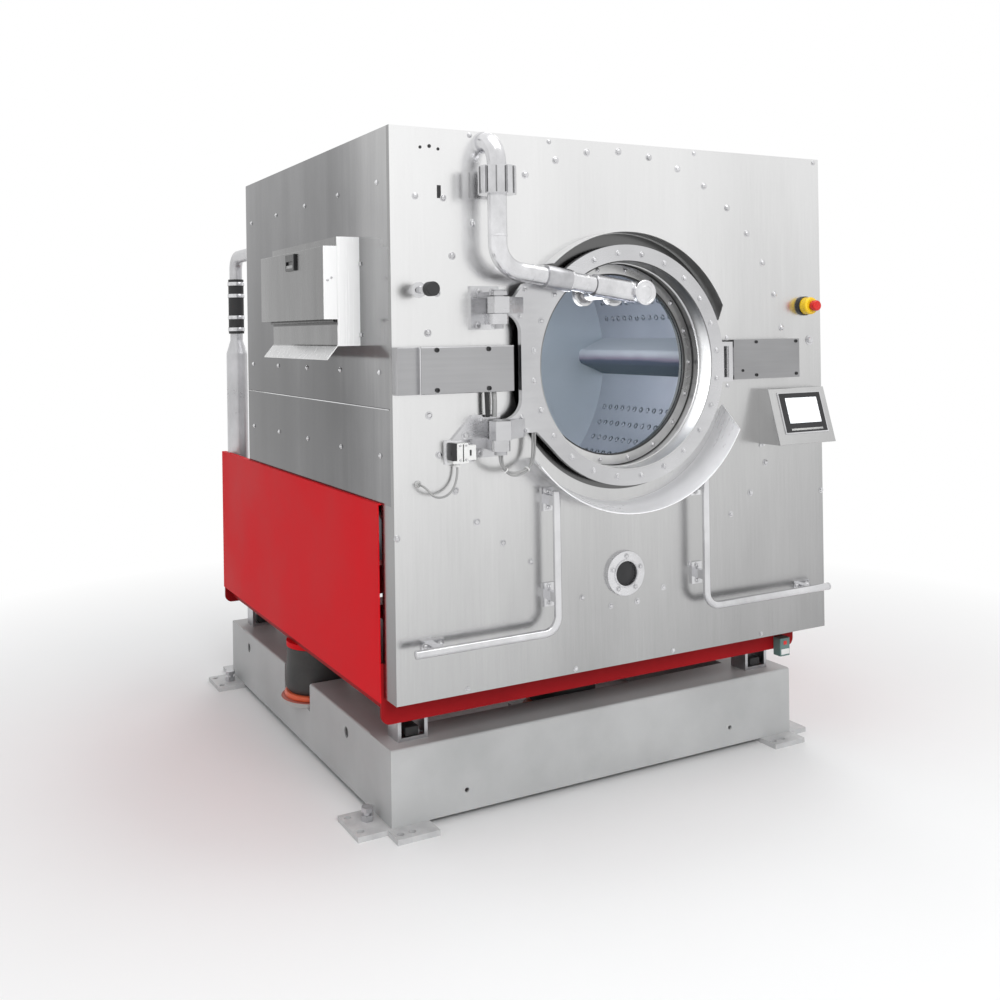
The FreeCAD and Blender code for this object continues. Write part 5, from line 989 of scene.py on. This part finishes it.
def door_leads():
    """Two leads that loop from the lower hinge pin to the door plate, tied together twice."""
    x, y, z = HINGE.x, HINGE.y, 1.205
    end_y = (DOOR_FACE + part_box("door_ring")[1].y) / 2
    plate_foot = 1.263
    apart = 0.0045
    for name, side, length in (("door_lead_outer", -apart, 0.285), ("door_lead_inner", apart, 0.287)):
        route = [(x + side, y, z), (x + side, y, z - 0.034 - side),
                 (x + 0.034 + side / 2, y + 0.010, z - 0.064 - side),
                 (x + 0.088 - side / 2, y + 0.024, z - 0.068 - side),
                 (x + 0.132 - side, end_y - 0.012, z - 0.044 - side),
                 (x + 0.148 - side, end_y, z - 0.004), (x + 0.148 - side, end_y, plate_foot)]
        wire = lead(name, route, LEAD_RADIUS, LEAD_GREY, "door")
        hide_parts("door_cable")
    bm = bmesh.new()
    left, right = Vector((x + 0.017, y + 0.005, z - 0.049)), Vector((x + 0.110, end_y - 0.019, z - 0.056))
    tie = [(0.0084, -0.002), (0.0100, -0.002), (0.0100, 0.002), (0.0084, 0.002), (0.0084, -0.002)]
    for place, way in ((left, Vector((0.034, 0.010, -0.030))), (right, Vector((0.044, 0.014, 0.024)))):
        lathe(bm, tie, place, way, 20)
    piece("lead_ties", bm, TIE_WHITE, "door")


def switch_lead():
    """Lead that loops under the door switch to a gland in the front sheet."""
    x, z = -0.635, 1.169
    gland_x, gland_z = x - 0.126, z - 0.046
    route = [(x, FRONT - 0.020, z), (x, FRONT - 0.020, z - 0.040), (x - 0.034, FRONT - 0.034, z - 0.084),
             (x - 0.092, FRONT - 0.050, z - 0.088), (gland_x, FRONT - 0.050, gland_z), (gland_x, FRONT, gland_z)]
    wire = lead("switch_wire", route, LEAD_RADIUS, LEAD_GREY, "machine")
    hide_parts("switch_lead")
    bm = bmesh.new()
    lathe(bm, [(0.004, 0), (0.011, 0), (0.011, 0.003), (0.0075, 0.006), (0.006, 0.012), (0.004, 0.012)],
          at_front(gland_x, gland_z), OUT, 20)
    piece("wire_gland", bm, GREY_PLASTIC, "machine")


# Stage

def softbox(name, place, aim, size, power, mirrored=True):
    """Rectangular lamp turned to its aim, seen in the metal or not."""
    lamp = bpy.data.lights.new(name, "AREA")
    lamp.shape = "RECTANGLE"
    lamp.size, lamp.size_y = size
    lamp.energy = power
    thing = added(name, lamp)
    thing.location = place
    thing.rotation_mode = "QUATERNION"
    thing.rotation_quaternion = (Vector(aim) - Vector(place)).to_track_quat("-Z", "Y")
    thing.visible_camera = False
    thing.visible_glossy = mirrored


def shown_rays(tree):
    """1 for the rays that show the background: straight to the camera, mirrored or through glass."""
    path = tree.nodes.new("ShaderNodeLightPath")
    value = path.outputs["Is Camera Ray"]
    for other in ("Is Glossy Ray", "Is Transmission Ray"):
        node = tree.nodes.new("ShaderNodeMath")
        node.operation = "MAXIMUM"
        tree.links.new(value, node.inputs[0])
        tree.links.new(path.outputs[other], node.inputs[1])
        value = node.outputs["Value"]
    return value


def studio():
    """White room with a soft fill, softboxes round the machine and a small lamp in the drum."""
    world = bpy.data.worlds.new("studio")
    bpy.context.scene.world = world
    world.use_nodes = True
    tree = world.node_tree
    tree.nodes.clear()
    mix = tree.nodes.new("ShaderNodeMixShader")
    tree.links.new(shown_rays(tree), mix.inputs["Fac"])
    for socket, colour, strength in ((1, (0.97, 0.985, 1.0, 1.0), 0.5), (2, (1, 1, 1, 1), 1.0)):
        sky = tree.nodes.new("ShaderNodeBackground")
        sky.inputs["Color"].default_value = colour
        sky.inputs["Strength"].default_value = strength
        tree.links.new(sky.outputs["Background"], mix.inputs[socket])
    tree.links.new(mix.outputs["Shader"], tree.nodes.new("ShaderNodeOutputWorld").inputs["Surface"])
    softbox("key_softbox", (-0.9, -5.4, 3.2), (-0.1, -1, 1.3), (2.6, 2.0), 140, mirrored=False)
    softbox("left_softbox", (-5.0, -2.2, 3.2), (-0.8, -0.3, 1.2), (2.4, 2.4), 22, mirrored=False)
    softbox("top_softbox", (0.2, -1.2, 5.4), (0, -0.2, 1.0), (4.0, 3.0), 90)
    softbox("back_softbox", (2.5, 4.5, 3.5), (0, 0.4, 1.2), (3.0, 2.0), 70)
    lamp = bpy.data.lights.new("drum_lamp", "POINT")
    lamp.energy = 18.5
    lamp.shadow_soft_size = 0.3
    thing = added("drum_lamp", lamp)
    thing.location = (-0.1, middle_of("drum_shell").y, DRUM_AXIS.z + 0.05)
    thing.visible_camera = False


def floor():
    """Pale floor that keeps the machine's shadow and fades to white further out."""
    bm = bmesh.new()
    bmesh.ops.create_grid(bm, x_segments=1, y_segments=1, size=40.0)
    mesh = bpy.data.meshes.new("studio_floor")
    bm.to_mesh(mesh)
    bm.free()
    finish = Finish("pale_floor", roughness=0.7)
    finish.colours(finish.noise(0.8), [(0.3, grey(0.86)), (0.7, grey(0.88))])
    away = finish.node("VectorMath", {0: finish.place}, operation="LENGTH").outputs["Value"]
    fade = finish.pick(finish.spread(away, 0.0, 1.0, 1.5, 3.6), shown_rays(finish.tree), "MULTIPLY")
    glow = finish.node("Emission", {})
    mix = finish.node("MixShader", {"Fac": fade, 1: finish.shader.outputs["BSDF"], 2: glow.outputs["Emission"]})
    finish.link(mix.outputs["Shader"], finish.tree.nodes["Material Output"].inputs["Surface"])
    mesh.materials.append(finish.material)
    thing = added("studio_floor", mesh)


def photo_camera():
    """Camera at the photograph's viewing angle; its lens shift keeps uprights upright."""
    yaw, pitch, roll = (math.radians(a) for a in (-28.67, -0.02, 0.83))
    right = Vector((math.cos(yaw), math.sin(yaw), 0))
    level = Vector((-math.sin(yaw), math.cos(yaw), 0))
    ahead = level * math.cos(pitch) - UP * math.sin(pitch)
    down = -UP * math.cos(pitch) - level * math.sin(pitch)
    across = right * math.cos(roll) + down * math.sin(roll)
    below = down * math.cos(roll) - right * math.sin(roll)
    data = bpy.data.cameras.new("photo_camera")
    data.lens = 39.819
    data.sensor_width = 36.0
    data.shift_y = -0.1696
    camera = added("photo_camera", data)
    columns = Matrix((across, -below, -ahead)).transposed().to_4x4()
    columns.translation = Vector((-2.156709, -4.176302, 1.588541))
    camera.matrix_world = columns
    bpy.context.scene.camera = camera


bpy.context.scene.view_settings.view_transform = "Standard"
for step in (photo_camera, studio, floor, door_leads, switch_lead, front_bolts, front_holes, side_bolts,
             door_bolts, bowl_rings, housing_screws, hinge_fasteners, port_details, drum_dimples,
             spray_pipe_fittings, union_slot_shades, nozzle_rims, rail_fasteners, console_details, e_stop_details,
             bumper_details, switch_details, hopper_details, vent_details, base_details, bellows):
    step()
